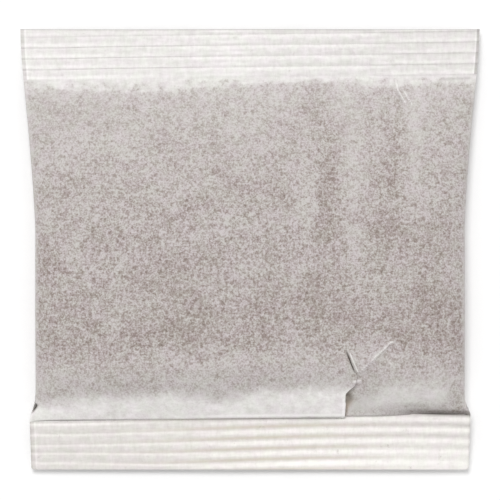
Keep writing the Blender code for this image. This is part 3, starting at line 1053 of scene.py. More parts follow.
@dataclass(frozen=True)
class Crease:
    """A straight crease: a sharp crest or groove, and a fall of the paper on its right side.

    Attributes:
        start: X and Y of one end.
        end: X and Y of the other.
        crest: Height of the crest, less than 0 for a groove.
        half_width: How far the crest reaches to each side.
        fall: How far the paper drops on the right of the way from start to end.
        fall_run: How wide the drop is.
        taper: How far from each end it has its full height.
        pale: How much the paper clears the coffee along it, and how bright the painted highlight along it is.
        gloom: How dark it is along its bottom.
        sharpness: The power that its sides fall by.
        recovery: How many widths of the drop it takes to level out again.
    """

    start: tuple[float, float]
    end: tuple[float, float]
    crest: float
    half_width: float
    fall: float = 0.0
    fall_run: float = 1.2
    taper: float = 1.2
    pale: float = 0.0
    gloom: float = 0.0
    sharpness: float = 1.4
    recovery: float = 3.0

    def place(self, x: np.ndarray, y: np.ndarray) -> tuple[np.ndarray, np.ndarray]:
        """Places the points across the line and along it.

        Args:
            x: X of each point.
            y: Y of each point.

        Returns:
            How far each point lies to the right of the line, and how close to its ends it fades.
        """
        run = np.subtract(self.end, self.start)
        length = float(np.hypot(*run))
        dx, dy = x - self.start[0], y - self.start[1]
        aside = (dx * run[1] - dy * run[0]) / length
        along = (dx * run[0] + dy * run[1]) / length
        taper = min(self.taper, length / 2)
        return aside, smooth_step(along / taper) * smooth_step((length - along) / taper)

    def nearness(self, x: np.ndarray, y: np.ndarray) -> np.ndarray:
        """1 on the line and 0 past its half width."""
        aside, fade = self.place(x, y)
        return np.clip(1.0 - np.abs(aside) / self.half_width, 0.0, 1.0) ** self.sharpness * fade

    def height(self, x: np.ndarray, y: np.ndarray) -> np.ndarray:
        """What it adds to the front: its crest, less a step that levels out again.

        Args:
            x: X of each point.
            y: Y of each point.

        Returns:
            The height at each point.
        """
        aside, fade = self.place(x, y)
        levelled = np.exp(-np.maximum(aside, 0.0) / (self.recovery * self.fall_run))
        fallen = smooth_step(aside / self.fall_run) * levelled
        return self.crest * self.nearness(x, y) - self.fall * fallen * fade


@dataclass(frozen=True)
class Cockle:
    """The slow unevenness of soft paper over loose coffee: a sum of seeded plane waves."""

    seed: int = 11
    waves: int = 40
    rise: float = 0.055
    shortest: float = 4.5
    longest: float = 15.0
    stretch: float = 2.4  # how much longer the waves are along the pack than across it

    def height(self, x: np.ndarray, y: np.ndarray) -> np.ndarray:
        """The sum of cosines with random directions, lengths and phases.

        Args:
            x: X of each point.
            y: Y of each point.

        Returns:
            The height at each point.
        """
        draw = np.random.default_rng(self.seed)
        length = np.exp(draw.uniform(math.log(self.shortest), math.log(self.longest), self.waves))
        turn = draw.uniform(0.0, math.pi, self.waves)
        phase = draw.uniform(0.0, 2.0 * math.pi, self.waves)
        kx = 2.0 * math.pi / length * np.cos(turn)
        ky = 2.0 * math.pi / length * np.sin(turn) / self.stretch
        total = sum(np.cos(a * x + b * y + c) for a, b, c in zip(kx, ky, phase))
        return self.rise * total * math.sqrt(2.0 / self.waves)


@dataclass(frozen=True)
class Relief:
    """The finer forms that are pressed into the front."""

    top: TopSeal
    bottom: BottomSeal
    cockle: Cockle = Cockle()
    top_run: float = 3.0  # the cockle fades out over this at the top seal
    bottom_run: float = 2.0  # and over this at the bottom seal
    side_power: int = 8  # and by this power of the way to the sides
    valleys: tuple[Valley, ...] = (
        Valley(17.0, 2.4, 50.0, 0.50, stain_and_shade=0.16, pale=0.20),
        Valley(33.0, 0.8, 42.0, 0.40, stain_and_shade=0.10, pale=0.24),
        Valley(29.0, 1.0, 26.0, 0.18, 1.6),
        Valley(43.5, -0.5, 30.0, 0.20, 1.6),
    )
    creases: tuple[Crease, ...] = (
        # the groove that runs down to the pleat, and the bright crease that runs up from it
        Crease((22.05, -22.7), (24.85, -29.8), -0.7, 0.26, taper=2.6, gloom=1.0),
        Crease((23.1, -23.7), (25.4, -29.2), 0.3, 0.34, taper=0.8, pale=1.0),
        Crease((25.2, -29.0), (33.2, -21.4), 0.30, 0.45, 0.38, 1.6, pale=0.65),
        Crease((28.2, -26.2), (33.2, -21.4), 0.10, 0.42, taper=0.8, pale=0.9),
        Crease((32.5, -21.9), (33.8, -21.5), 0.2, 0.4, taper=0.4, pale=0.9),
        Crease((23.6, -31.1), (26.4, -30.7), 0.35, 0.6, taper=0.6, pale=1.0),
        Crease((32.1, -25.9), (33.6, -27.5), 0.2, 0.45, taper=0.8, pale=0.6),
        # the folds in the lip
        Crease((1.9, -31.6), (2.7, -34.8), 0.25, 0.5, 0.15, pale=0.8),
        Crease((2.2, -32.6), (2.5, -35.0), -0.30, 0.3, taper=0.8, gloom=0.22),
        Crease((2.8, -34.6), (2.9, -39.6), -0.28, 0.6, 0.12),
        Crease((11.1, -31.6), (11.3, -34.6), 0.20, 0.4, 0.10, pale=0.6),
        Crease((-23.5, -33.0), (-23.2, -39.8), -0.22, 0.6, 0.12),
        Crease((-20.6, -31.2), (-17.4, -35.6), 0.20, 0.5, 0.10, pale=0.5),
        Crease((-43.6, -36.5), (-41.8, -40.0), -0.22, 0.6, 0.10),
        Crease((-40.6, -36.5), (-41.8, -40.0), -0.22, 0.6, 0.10),
        # the crinkles below the top seal, and the brown line at its right end
        Crease((44.5, 40.0), (52.6, 40.25), -0.1, 0.6, taper=1.5, gloom=0.24),
        Crease((34.2, 40.2), (34.9, 37.0), 0.36, 0.42, taper=0.4, pale=0.9),
        Crease((34.8, 37.4), (36.7, 34.1), 0.42, 0.42, taper=0.4, pale=1.0),
        Crease((36.2, 37.3), (38.3, 33.5), 0.40, 0.42, taper=0.6, pale=0.9),
        Crease((34.2, 37.1), (36.0, 34.1), -0.2, 0.35, taper=0.6, gloom=0.22),
    )
    tuck_from: tuple[float, float] = (-50.4, -36.0)
    tuck_to: tuple[float, float] = (-51.2, -38.5)
    tuck_width: float = 0.62
    tuck_least: float = 0.3  # how much of that width it has at its ends
    tuck_depth: float = 1.6
    tuck_opening: Ramp = Ramp(0.0, 0.3)  # over shares of the way down
    tuck_closing: Ramp = Ramp(1.2, -0.9)

    def body_share(self, flat: np.ndarray, y: np.ndarray) -> np.ndarray:
        """1 over the body, faded out over a few millimetres at each seal."""
        up = smooth_step((self.top.inner_edge(flat) - y) / self.top_run)
        return up * smooth_step((y - self.bottom.edge(flat)) / self.bottom_run)

    def tuck(self, x: np.ndarray, y: np.ndarray) -> np.ndarray:
        """Nearness to the hole in the bottom left corner, which opens quickly down a slant and closes.

        Args:
            x: X of each point.
            y: Y of each point.

        Returns:
            1 in the middle of the hole, and 0 away from it.
        """
        along = (self.tuck_from[1] - y) / (self.tuck_from[1] - self.tuck_to[1])
        middle = self.tuck_from[0] + (self.tuck_to[0] - self.tuck_from[0]) * along
        opened = self.tuck_opening.at(along) * self.tuck_closing.at(along)
        half_width = self.tuck_width * (self.tuck_least + (1.0 - self.tuck_least) * opened)
        return hump((x - middle) / half_width) * opened

    def height(self, flat: np.ndarray, x: np.ndarray, y: np.ndarray) -> np.ndarray:
        """What all of it adds to the front: the sum of them.

        Args:
            flat: The columns.
            x: X of each point.
            y: Y of each point.

        Returns:
            The height at each point.
        """
        down = self.top.inner_edge(flat) - y
        share = self.body_share(flat, y)
        total = sum(valley.height(x, down) for valley in self.valleys)
        total = total + sum(crease.height(x, y) for crease in self.creases)
        share = share * (1.0 - np.abs(self.top.tube.across(flat)) ** self.side_power)
        return total + self.cockle.height(x, y) * share - self.tuck_depth * self.tuck(x, y)


@dataclass(frozen=True)
class StainAndPaintedLight:
    """How the coffee behind the paper and the jaws colour the paper, and the light and shade painted on it:
    highlights where teeth and creases face the light, and shade in the folds, in the crevice and under the
    lip.
    """

    tube: Tube
    top: TopSeal
    bottom: BottomSeal
    end: FillEnd
    relief: Relief
    # at these places across the pack, the paper stays clear of the coffee so far under the top seal
    bare_x: tuple[float, ...] = (-54.0, -48.0, -38.0, -27.0, -8.0, 16.0, 25.0, 31.0, 38.0, 54.0)
    bare: tuple[float, ...] = (0.0, 0.7, 0.8, 1.8, 0.5, -0.8, 0.0, 1.6, 0.5, 0.4)
    cover_run: float = 3.0  # from there to the full stain
    veil: Touch = Touch(0.38, (), {At.DOWN: Ramp(0.0, 1.0)})  # how much of the stain the clear band has, partly painted shade against the light on its slope
    # the tone is full in the middle, and paler by these shares under the top seal, at its left and right
    full_tone: float = 1.11
    top_fade: tuple[float, float] = (0.62, 0.46)
    top_run: float = 20.0
    # it fades down the end and at the sides, partly as painted light against their shading, fades on the lip
    # and on the stretch, and deepens at the right
    low_fades: tuple[Touch, ...] = (Touch(0.28, (), {At.UP: Ramp(19.0, -10.0)}), Touch(0.76, (At.LIP,)))
    deeper: Touch = Touch(0.07, (), {At.X: Ramp(30.0, 10.0), At.UP: Bell(13.0, 8.0)})
    fades: tuple[Touch, ...] = (Touch(0.75, (At.STRETCHED,)), Touch(0.55, (), {At.SIDE: Ramp(1.3, -1.3)}))
    # at these places across the pack, the lip's paler band reaches so far above the bottom seal
    lip_x: tuple[float, ...] = (-54.0, -47.0, -41.0, -19.0, -7.0, 4.0, 24.0)
    lip_top: tuple[float, ...] = (3.6, 4.4, 5.8, 6.4, 4.6, 6.6, 6.8)
    lip_run: float = 5.2
    lip_lit: Ramp = Ramp(-14.0, 8.0)  # across the pack: where the painted highlight and shadow lines along the lip show
    rim_line: Bell = Bell(0.62, 0.28)  # above the lip's edge: the painted highlight
    edge_line: Bell = Bell(0.0, 0.45)  # and the painted dark line of shadow
    rim_white: float = 0.3
    hem_line: Bell = Bell(-0.35, 0.35)  # to the right of the pleat's fold: its bare edge
    hem_down: Ramp = Ramp(-33.5, -2.0)
    flap_width: float = 0.45  # half the width of the shade beside that
    flap_swell: Touch = Touch(0.75, (), {At.Y: Bell(-35.0, 1.7)})
    flap_down: Ramp = Ramp(-32.0, -2.5)
    stretch_up: float = 2.2  # above the seal, at the left of the pale stretch; twice that at its right
    stretch_reach: float = 2.2
    stretch_widening: float = 1.2
    stretch_right: Ramp = Ramp(24.0, 12.0)
    stretch_end: Ramp = Ramp(49.0, -5.0)
    lip_shadow: float = 0.25  # how dark the painted shadow under the lip is
    lip_shadow_darker: float = 0.34  # and how much darker at the left, where it clears at its foot
    lip_shadow_left: Ramp = Ramp(-10.0, -20.0)
    lip_shadow_foot: Ramp = Ramp(0.35, -0.35)
    chasm_bend: float = 1.4
    whites: tuple[Touch, ...] = (
        # the top seal: darker at the right; painted highlights where its teeth face the light, more at the
        # left, and a bright band on each tooth in the middle; painted shade on the strips along both sides,
        # and a painted highlight beside each
        Touch(0.40, (At.TOP,)),
        Touch(-0.10, (At.TOP,), {At.ACROSS: Ramp(0.2, 0.5)}),
        Touch(0.20, (At.TOP, At.TOP_FLANK)),
        Touch(0.25, (At.TOP, At.TOP_FLANK), {At.ACROSS: Ramp(-0.50, -0.2), At.TOP_TOOTH: Ramp(-3.8, 0.4)}),
        Touch(0.38, (At.TOP,), {At.ACROSS: Bell(-0.09, 0.10), At.TOP_PHASE: Bell(0.74, 0.13)}),
        Touch(-0.30, (At.TOP, At.TOP_STRIP)),
        Touch(0.25, (At.TOP, At.TOP_LINE)),
        # the bottom seal: brighter to the right and to the cut; painted highlights where its teeth face the
        # light, on its first teeth and on its last in the middle; painted shade under the lip and on the
        # strip at the left side, and a painted highlight beside that
        Touch(0.36, (At.BOTTOM,)),
        Touch(0.06, (At.BOTTOM,), {At.ACROSS: Ramp(-0.6, 1.2)}),
        Touch(0.05, (At.BOTTOM, At.TOOTH), {At.ACROSS: Ramp(-0.6, 1.2)}),
        Touch(0.09, (At.BOTTOM, At.LATER), {At.ACROSS: Ramp(0.3, 0.4)}),
        Touch(0.22, (At.BOTTOM, At.FLANK)),
        Touch(0.35, (At.BOTTOM,), {At.ACROSS: Bell(0.3, 0.15), At.TOOTH: Ramp(4.0, 0.3)}),
        Touch(0.35, (At.BOTTOM,), {At.ACROSS: Bell(0.5, 0.13), At.TOOTH: Bell(0.3, 0.25)}),
        Touch(0.30, (At.BOTTOM,), {At.ACROSS: Ramp(-0.35, -0.4), At.TOOTH: Bell(0.28, 0.12)}),
        Touch(-0.25, (At.BOTTOM, At.SHELTERED)),
        Touch(-0.20, (At.BOTTOM, At.STRIP)),
        Touch(0.25, (At.BOTTOM, At.LINE)),
        # the body: brighter on the lip, partly as painted light against the shade of its slope, on the pale
        # stretch and just under the top seal
        Touch(0.05, (At.BODY,)),
        Touch(0.78, (At.BODY, At.LIP)),
        Touch(0.30, (At.BODY, At.STRETCHED), {At.X: Ramp(27.0, 5.0)}),
        Touch(0.30, (At.BODY,), {At.DOWN: Bell(0.0, 4.0)}),
    )
    creams: tuple[Touch, ...] = (
        Touch(0.12, (At.BOTTOM,)),
        Touch(0.55, (At.BOTTOM,), {At.GROOVE: Bell(-0.04, 0.16), At.X: Bell(4.0, 26.0)}),
        # the pleat's painted shadow, tinted olive by this cream
        Touch(1.00, (At.FLAP,)),
    )
    glooms: tuple[Touch, ...] = (
        # darker along the cuts, and painted shade along the sides of both seals
        Touch(0.45, (At.TOP,), {At.CUT: Ramp(0.30, -0.30)}),
        Touch(0.03, (At.BOTTOM,), {At.CUT: Ramp(0.30, -0.30)}),
        Touch(0.03, (At.TOP, At.TOP_STRIP)),
        Touch(0.20, (At.TOP, At.TOP_STRIP), {At.X: Ramp(0.0, 1.0)}),
        Touch(0.16, (At.BOTTOM,), {At.SIDE: Ramp(0.6, -0.6)}),
        # painted shade on the bottom seal under the lip, under the pleat and along the crevice
        Touch(0.24, (At.BOTTOM, At.SHELTERED)),
        Touch(0.13, (At.BOTTOM,), {At.X: Bell(15.0, 5.0), At.TOOTH: Ramp(0.8, -0.5)}),
        Touch(0.35, (At.BOTTOM,), {At.X: Ramp(36.0, 10.0), At.UP: Ramp(-0.20, 0.15)}),
        Touch(0.30, (At.BOTTOM,), {At.X: Ramp(36.0, 10.0), At.UP: Ramp(-0.85, 0.80)}),
        # painted shade in the groove under the top seal's right end
        Touch(0.10, (At.FRONT, At.BODY), {At.X: Ramp(28.0, 6.0), At.DOWN: Bell(0.0, 0.3)}),
        # painted shade in the crevice and on the slope above the middle of it
        Touch(0.50, (At.BODY, At.BEYOND, At.CHASM), {At.UP: Ramp(1.6, -1.1)}),
        Touch(0.11, (At.BODY, At.BEYOND), {At.X: Ramp(34.0, 4.0), At.UP: Ramp(3.0, -0.7)}),
        Touch(-0.11, (At.BODY, At.BEYOND), {At.X: Ramp(44.0, 4.0), At.UP: Ramp(3.0, -0.7)}),
        # painted shade in the tuck under the lip and to the right of the pleat up to the crevice, and a
        # painted dark line of shadow along the lip's edge
        Touch(1.00, (At.FRONT, At.TUCK, At.BEFORE, At.SEAM)),
        Touch(0.12, (At.TUCK, At.BEYOND)),
        Touch(-0.12, (At.TUCK, At.BEYOND, At.CREVICE)),
        Touch(0.22, (At.FRONT, At.LIP_EDGE), {At.X: Ramp(8.0, 6.0)}),
        # the painted shade of the pleat, deeper at its foot's upper end, and painted shade in the small hole
        Touch(0.34, (At.FLAP,)),
        Touch(0.25, (At.FLAP,), {At.Y: Ramp(-37.0, 2.0)}),
        Touch(1.40, (At.FRONT, At.HOLE)),
    )

    def know(self, known: Known) -> Known:
        """Works out the rest of what is known of the points.

        Args:
            known: Their places, and which part of the ply each is in.

        Returns:
            All of it.
        """
        x, y, flat = known[At.X], known[At.Y], known[At.FLAT]
        down, up = self.top.inner_edge(flat) - y, y - self.bottom.edge(flat)
        top_tooth, tooth = down / self.top.crimp.pitch, -up / self.bottom.crimp.pitch
        top_strip, top_line = self.top.hemmed(flat)
        strip, line = self.bottom.hemmed(flat)
        crevice = self.end.crevice_share(flat)
        known = {
            **known,
            At.TOP_STRIP: top_strip,
            At.TOP_LINE: top_line,
            At.STRIP: strip,
            At.LINE: line,
            At.ACROSS: self.tube.across(flat),
            At.DOWN: down,
            At.UP: up,
            At.SIDE: self.tube.half - np.abs(flat),
            At.CUT: self.tube.half_length - np.abs(y),
            At.TOP_TOOTH: top_tooth,
            At.TOP_PHASE: top_tooth - np.floor(top_tooth),
            At.TOOTH: tooth,
            At.LATER: np.maximum(tooth - 2.0, 0.0),
            At.GROOVE: tooth - np.round(tooth),
            At.TOP_FLANK: self.top.crimp.flank(top_tooth, self.top.teeth(flat)),
            At.FLANK: self.bottom.crimp.flank(self.bottom.bent(flat, tooth), self.bottom.teeth(flat, tooth)),
            At.SHELTERED: self.bottom.sheltered(flat, tooth),
            At.CREVICE: crevice,
            At.CHASM: crevice**self.chasm_bend,
            At.HOLE: self.relief.tuck(x, y),
        }
        return {
            **known,
            At.LIP: self.lip(known),
            At.RIM: self.lip_line(known, self.rim_line),
            At.LIP_EDGE: self.lip_line(known, self.edge_line),
            At.HEM: self.hem(known),
            At.FLAP: self.flap(known),
            At.STRETCHED: self.stretched(known),
            At.SEAM: self.under_lip(known),
        }

    def lip(self, known: Known) -> np.ndarray:
        """The lip's paler band, to the left of the pleat.

        Args:
            known: What is known of the points.

        Returns:
            1 at the lip's edge, and 0 above the band.
        """
        top = np.interp(known[At.X], self.lip_x, self.lip_top)
        low = 1.0 - smooth_step((known[At.UP] - top) / self.lip_run + 0.5)
        return low * known[At.BEFORE] * known[At.BODY]

    def lip_line(self, known: Known, line: Bell) -> np.ndarray:
        """1 on one painted line along the lip, its highlight or its dark line of shadow, faded out to the
        left of the middle.

        Args:
            known: What is known of the points.
            line: How far above the lip's edge it lies, and how far it spreads.

        Returns:
            One value a point.
        """
        above = known[At.Y] - self.end.tip(known[At.FLAT])[0]
        return line.at(above) * self.lip_lit.at(known[At.X]) * known[At.BEFORE] * known[At.BODY]

    def hem(self, known: Known) -> np.ndarray:
        """1 on the bare edge of the pleat, at the left of its fold."""
        line = self.hem_line.at(known[At.FLAT] - self.tube.pleat_x)
        return line * self.hem_down.at(known[At.Y]) * known[At.BEFORE] * known[At.BODY]

    def flap(self, known: Known) -> np.ndarray:
        """The shade that the pleat's edge throws on the paper to its right: a bell, widest half way down.

        Args:
            known: What is known of the points.

        Returns:
            1 where it is deepest.
        """
        wide = self.flap_width + self.flap_swell.on(known)
        across = hump((known[At.FLAT] - self.tube.pleat_x - wide) / wide)
        return across * self.flap_down.at(known[At.Y]) * known[At.BEYOND] * known[At.BODY]

    def stretched(self, known: Known) -> np.ndarray:
        """The pale stretch above the crevice: a bell that climbs and widens to the right.

        Args:
            known: What is known of the points.

        Returns:
            1 where it is palest.
        """
        right = self.stretch_right.at(known[At.X])
        above = known[At.UP] - self.stretch_up * (1.0 + right)
        pale = hump(above / (self.stretch_reach + self.stretch_widening * right))
        return pale * self.stretch_end.at(known[At.X]) * known[At.BEYOND] * known[At.BODY]

    def under_lip(self, known: Known) -> np.ndarray:
        """How dark the painted shadow under the lip is."""
        left = self.lip_shadow_left.at(known[At.X])
        return (self.lip_shadow + self.lip_shadow_darker * left) * (1.0 - left * self.lip_shadow_foot.at(known[At.UP]))

    def cover(self, known: Known) -> np.ndarray:
        """Where coffee lies against the paper: from a ragged line under the top seal down.

        Args:
            known: What is known of the points.

        Returns:
            0 where bare paper shows, and 1 where coffee lies against it.
        """
        bare = np.interp(known[At.FLAT], self.bare_x, self.bare)
        full = smooth_step((known[At.DOWN] - bare) / self.cover_run)
        return np.maximum(self.veil.on(known), full) * known[At.BODY]

    def tone(self, known: Known) -> np.ndarray:
        """How strongly the coffee shows: a full tone, and the shares of it that each fade leaves; some fades
        stand in for light, and the valleys add painted shade and highlight.

        Args:
            known: What is known of the points.

        Returns:
            0 where it doesn't show, and 1 for the full grey; what is over 1 deepens the shade.
        """
        left, right = self.top_fade
        fade = left + (right - left) * smooth_step((known[At.ACROSS] + 1.0) / 2)
        tone = self.full_tone - fade * np.exp(-np.maximum(known[At.DOWN], 0.0) / self.top_run)
        tone = tone * math.prod(1.0 - touch.on(known) for touch in self.low_fades) + self.deeper.on(known)
        tone = tone * math.prod(1.0 - touch.on(known) for touch in self.fades)
        tone = tone + sum(valley.shade(known[At.X], known[At.DOWN]) for valley in self.relief.valleys)
        for crease in self.relief.creases:
            tone = tone * (1.0 - crease.pale * crease.nearness(known[At.X], known[At.Y]))
        return tone * (1.0 - np.maximum(known[At.HEM], known[At.RIM]))

    def white(self, known: Known) -> np.ndarray:
        """How bright the bare paper's white is, with the painted highlights and shade in it.

        Args:
            known: What is known of the points.

        Returns:
            0 for a dull white, and 1 for the brightest.
        """
        white = sum(touch.on(known) for touch in self.whites)
        for crease in self.relief.creases:
            white = np.maximum(white, crease.pale * crease.nearness(known[At.X], known[At.Y]))
        return np.clip(np.maximum(white, known[At.HEM]) + self.rim_white * known[At.RIM], 0.0, 1.0)

    def cream(self, known: Known) -> np.ndarray:
        """Where the white is creamy: in the bottom seal's grooves, and in the painted shade of the pleat."""
        return np.clip(sum(touch.on(known) for touch in self.creams), 0.0, 1.0)

    def gloom(self, known: Known) -> np.ndarray:
        """How dark it is: painted shade inside the folds, in the crevice, under the lip and along the sides
        of the seals, and darker along the cuts.

        Args:
            known: What is known of the points.

        Returns:
            0 in the light, and 1 deep inside a fold.
        """
        gloom = sum(touch.on(known) for touch in self.glooms)
        x, y = known[At.X], known[At.Y]
        folded = sum(crease.gloom * crease.nearness(x, y) for crease in self.relief.creases)
        return np.clip(gloom + folded * known[At.FRONT], 0.0, 1.0)

    def marks(self, known: Known) -> dict[Mark, np.ndarray]:
        """What each vertex of a ply tells the finish."""
        ways = (self.cover, self.tone, self.white, self.cream, self.gloom)
        return {mark: way(known) for mark, way in zip(Mark, ways)}


@dataclass(frozen=True)
class FilterPaper:
    """Bleached filter paper, wet-laid and uncoated, with ground coffee behind it.

    The paper alone is a soft matt white, faintly streaked by its fibres. Over the coffee it turns a warm
    grey: each ground that touches it shows as a small brown shadow, and its thicker flocks stay paler.

    In the nodes, a Map Range takes its input 0 from between 1 and 2 to between 3 and 4, and a colour Mix
    takes a factor at 0 and its colours at 6 and 7.
    """

    name: str = "filter_paper_bleached"
    white: str = "d0cecc"
    # the brightest white, of the paper itself and of the painted highlights
    bright_white: str = "fbfaf9"
    cream: str = "e2d8c8"
    pale: str = "c8c4c3"
    grey: str = "978b86"
    ground: str = "6a615c"
    # the brown of the painted shade
    gloom: str = "372c1f"
    olive: str = "fdfefa"
    mauve: str = "fffbfd"
    roughness: float = 0.88
    ior: float = 1.5
    specular: float = 0.25
    grain_mm: float = 1.05  # across a coffee ground
    mottle_mm: float = 1.0  # across a flock
    fibre_mm: float = 0.42  # drawn coarser than a real fibre, which would not show
    streak_mm: float = 0.75  # a streak's width, also drawn coarser
    streak_across: float = 0.28  # its width as a share of its length
    streak_white: float = 0.40  # how far the streaks move the bare paper's white
    hue_mm: float = 3.0
    fringe_mm: float = 2.4
    cloud_mm: float = 9.0
    patches: float = 2.6
    tooth_mm: float = 0.35
    tooth_depth_mm: float = 0.05
    flock_height: float = 1.2  # against the fine tooth's 1

    def streaks(self, tree: bpy.types.NodeTree, place: bpy.types.NodeSocket) -> bpy.types.NodeSocket:
        """Fibres that run along the paper and others that cross them.

        Args:
            tree: The material's tree.
            place: Object coordinates.

        Returns:
            Their sum, from about -0.5 to 0.5.
        """
        runs = []
        for stretch in ((1.0, self.streak_across, 1.0), (self.streak_across, 1.0, 1.0)):
            stretched = add(tree, "Mapping", {"Vector": place, "Scale": stretch}).outputs[0]
            sizes = {"Scale": 1.0 / (self.streak_mm * MM), "Detail": 3.0, "Roughness": 0.6}
            runs.append(add(tree, "TexNoise", {"Vector": stretched, **sizes}).outputs[0])
        both = add(tree, "Math", {0: runs[0], 1: runs[1]}, operation="ADD").outputs[0]
        return add(tree, "MapRange", {0: both, 1: 0.72, 2: 1.28, 3: -0.5, 4: 0.5}).outputs[0]

    def coffee(
        self,
        tree: bpy.types.NodeTree,
        place: bpy.types.NodeSocket,
        mottle: bpy.types.NodeSocket,
        tone: bpy.types.NodeSocket,
    ) -> bpy.types.NodeSocket:
        """The colour of the paper over coffee.

        Args:
            tree: The material's tree.
            place: Object coordinates.
            mottle: The paper's flocks.
            tone: How strongly the coffee shows: what is over 1 deepens the shade.

        Returns:
            The colour: clouds, flocks, single grounds and fibres added into one shade, and the shade
            turned from the pale colour through the grey to the ground's.
        """
        cloud = add(tree, "TexNoise", {"Vector": place, "Scale": 1.0 / (self.cloud_mm * MM), "Detail": 2.0})
        fine = {"Vector": place, "Scale": 1.0 / (self.fibre_mm * MM), "Detail": 3.0, "Roughness": 0.65}
        fibre = add(tree, "TexNoise", fine)
        grounds = add(tree, "TexVoronoi", {"Vector": place, "Scale": 1.0 / (self.grain_mm * MM)})
        spot = add(tree, "MapRange", {0: grounds.outputs["Distance"], 1: 0.25, 2: 0.62, 3: 1.0, 4: 0.0})
        chance = add(tree, "MapRange", {0: grounds.outputs["Color"], 1: 0.15, 2: 0.85, 3: 0.03, 4: 0.28})
        speck = add(tree, "Math", {0: spot.outputs[0], 1: chance.outputs[0]}, operation="MULTIPLY")
        shade = speck.outputs[0]
        for part, low, high, least, most in (
            (tone, 1.0, 1.5, 0.0, 0.5),
            (mottle, 0.30, 0.70, 0.0, 0.29),
            (fibre.outputs[0], 0.28, 0.72, -0.42, 0.42),
            (cloud.outputs[0], 0.30, 0.70, -0.05, 0.13),
            (self.streaks(tree, place), -0.5, 0.5, -0.12, 0.12),
        ):
            share = add(tree, "MapRange", {0: part, 1: low, 2: high, 3: least, 4: most})
            shade = add(tree, "Math", {0: shade, 1: share.outputs[0]}, operation="ADD").outputs[0]
        low = add(tree, "MapRange", {0: shade, 1: 0.0, 2: 0.55}).outputs[0]
        high = add(tree, "MapRange", {0: shade, 1: 0.55, 2: 1.15}).outputs[0]
        colour = add(tree, "Mix", {0: low, 6: linear(self.pale), 7: linear(self.grey)}, data_type="RGBA")
        colour = add(tree, "Mix", {0: high, 6: colour.outputs[2], 7: linear(self.ground)}, data_type="RGBA")
        return colour.outputs[2]

    def bare(
        self, tree: bpy.types.NodeTree, place: bpy.types.NodeSocket, marks: dict[Mark, bpy.types.NodeSocket]
    ) -> bpy.types.NodeSocket:
        """The colour of the paper alone, from dull to bright white by the white mark and its painted light,
        and creamy, with its streaks.

        Args:
            tree: The material's tree.
            place: Object coordinates.
            marks: What the vertices carry.

        Returns:
            The colour.
        """
        streak = add(tree, "Math", {0: self.streaks(tree, place), 1: self.streak_white}, operation="MULTIPLY")
        bright_white = add(tree, "Math", {0: marks[Mark.WHITE], 1: streak.outputs[0]}, operation="ADD").outputs[0]
        white = {0: bright_white, 6: linear(self.white), 7: linear(self.bright_white)}
        colour = add(tree, "Mix", white, data_type="RGBA").outputs[2]
        creamy = {0: marks[Mark.CREAM], 6: colour, 7: linear(self.cream)}
        return add(tree, "Mix", creamy, data_type="RGBA").outputs[2]

    def build(self) -> bpy.types.Material:
        """Makes the material: the coffee's colour over the bare paper's, then the tint, the painted shade and
        the bump.

        Returns:
            The material.
        """
        made = bpy.data.materials.new(self.name)
        made.use_nodes = True
        tree = made.node_tree
        shader = tree.nodes["Principled BSDF"]
        place = add(tree, "TexCoord", {}).outputs["Object"]
        marks = {mark: add(tree, "Attribute", {}, attribute_name=mark.value).outputs["Fac"] for mark in Mark}
        flocks = {"Vector": place, "Scale": 1.0 / (self.mottle_mm * MM), "Detail": 4.0, "Roughness": 0.62}
        mottle = add(tree, "TexNoise", flocks).outputs[0]
        torn = {"Vector": place, "Scale": 1.0 / (self.fringe_mm * MM), "Detail": 4.0, "Roughness": 0.7}
        ragged = add(tree, "TexNoise", torn).outputs[0]
        fringe = add(tree, "MapRange", {0: ragged, 1: 0.25, 2: 0.75, 3: -0.5, 4: 0.5}).outputs[0]
        edge = add(tree, "Math", {0: marks[Mark.COVER], 1: fringe}, operation="ADD").outputs[0]
        covered = add(tree, "MapRange", {0: edge, 1: 0.15, 2: 0.85}, interpolation_type="SMOOTHSTEP")
        tone = marks[Mark.TONE]
        left_over = add(tree, "Math", {0: 1.0, 1: tone}, operation="SUBTRACT").outputs[0]
        half_toned = add(tree, "Math", {0: left_over, 1: tone}, operation="MULTIPLY", use_clamp=True)
        uneven = add(tree, "Math", {0: half_toned.outputs[0], 1: fringe}, operation="MULTIPLY").outputs[0]
        patchy = add(tree, "Math", {0: uneven, 1: self.patches, 2: tone}, operation="MULTIPLY_ADD").outputs[0]
        share = add(tree, "Math", {0: covered.outputs[0], 1: patchy}, operation="MULTIPLY", use_clamp=True)
        over_coffee = self.coffee(tree, place, mottle, tone)
        layers = {0: share.outputs[0], 6: self.bare(tree, place, marks), 7: over_coffee}
        colour = add(tree, "Mix", layers, data_type="RGBA").outputs[2]
        patch = {"Vector": place, "Scale": 1.0 / (self.hue_mm * MM), "Detail": 2.0}
        hue = add(tree, "MapRange", {0: add(tree, "TexNoise", patch).outputs[0], 1: 0.35, 2: 0.65})
        ends = {0: hue.outputs[0], 6: linear(self.olive), 7: linear(self.mauve)}
        tint = add(tree, "Mix", ends, data_type="RGBA").outputs[2]
        tinted = {0: 1.0, 6: colour, 7: tint}
        colour = add(tree, "Mix", tinted, data_type="RGBA", blend_type="MULTIPLY").outputs[2]
        dark = {0: marks[Mark.GLOOM], 6: colour, 7: linear(self.gloom)}
        tree.links.new(add(tree, "Mix", dark, data_type="RGBA").outputs[2], shader.inputs["Base Color"])
        shader.inputs["Roughness"].default_value = self.roughness
        shader.inputs["IOR"].default_value = self.ior
        shader.inputs["Specular IOR Level"].default_value = self.specular
        fine = {"Vector": place, "Scale": 1.0 / (self.tooth_mm * MM), "Detail": 3.0, "Roughness": 0.6}
        grain = add(tree, "TexNoise", fine).outputs[0]
        height = {0: mottle, 1: self.flock_height, 2: grain}
        relief = add(tree, "Math", height, operation="MULTIPLY_ADD").outputs[0]
        bump = add(tree, "Bump", {"Height": relief, "Distance": self.tooth_depth_mm * MM})
        tree.links.new(bump.outputs[0], shader.inputs["Normal"])
        return made


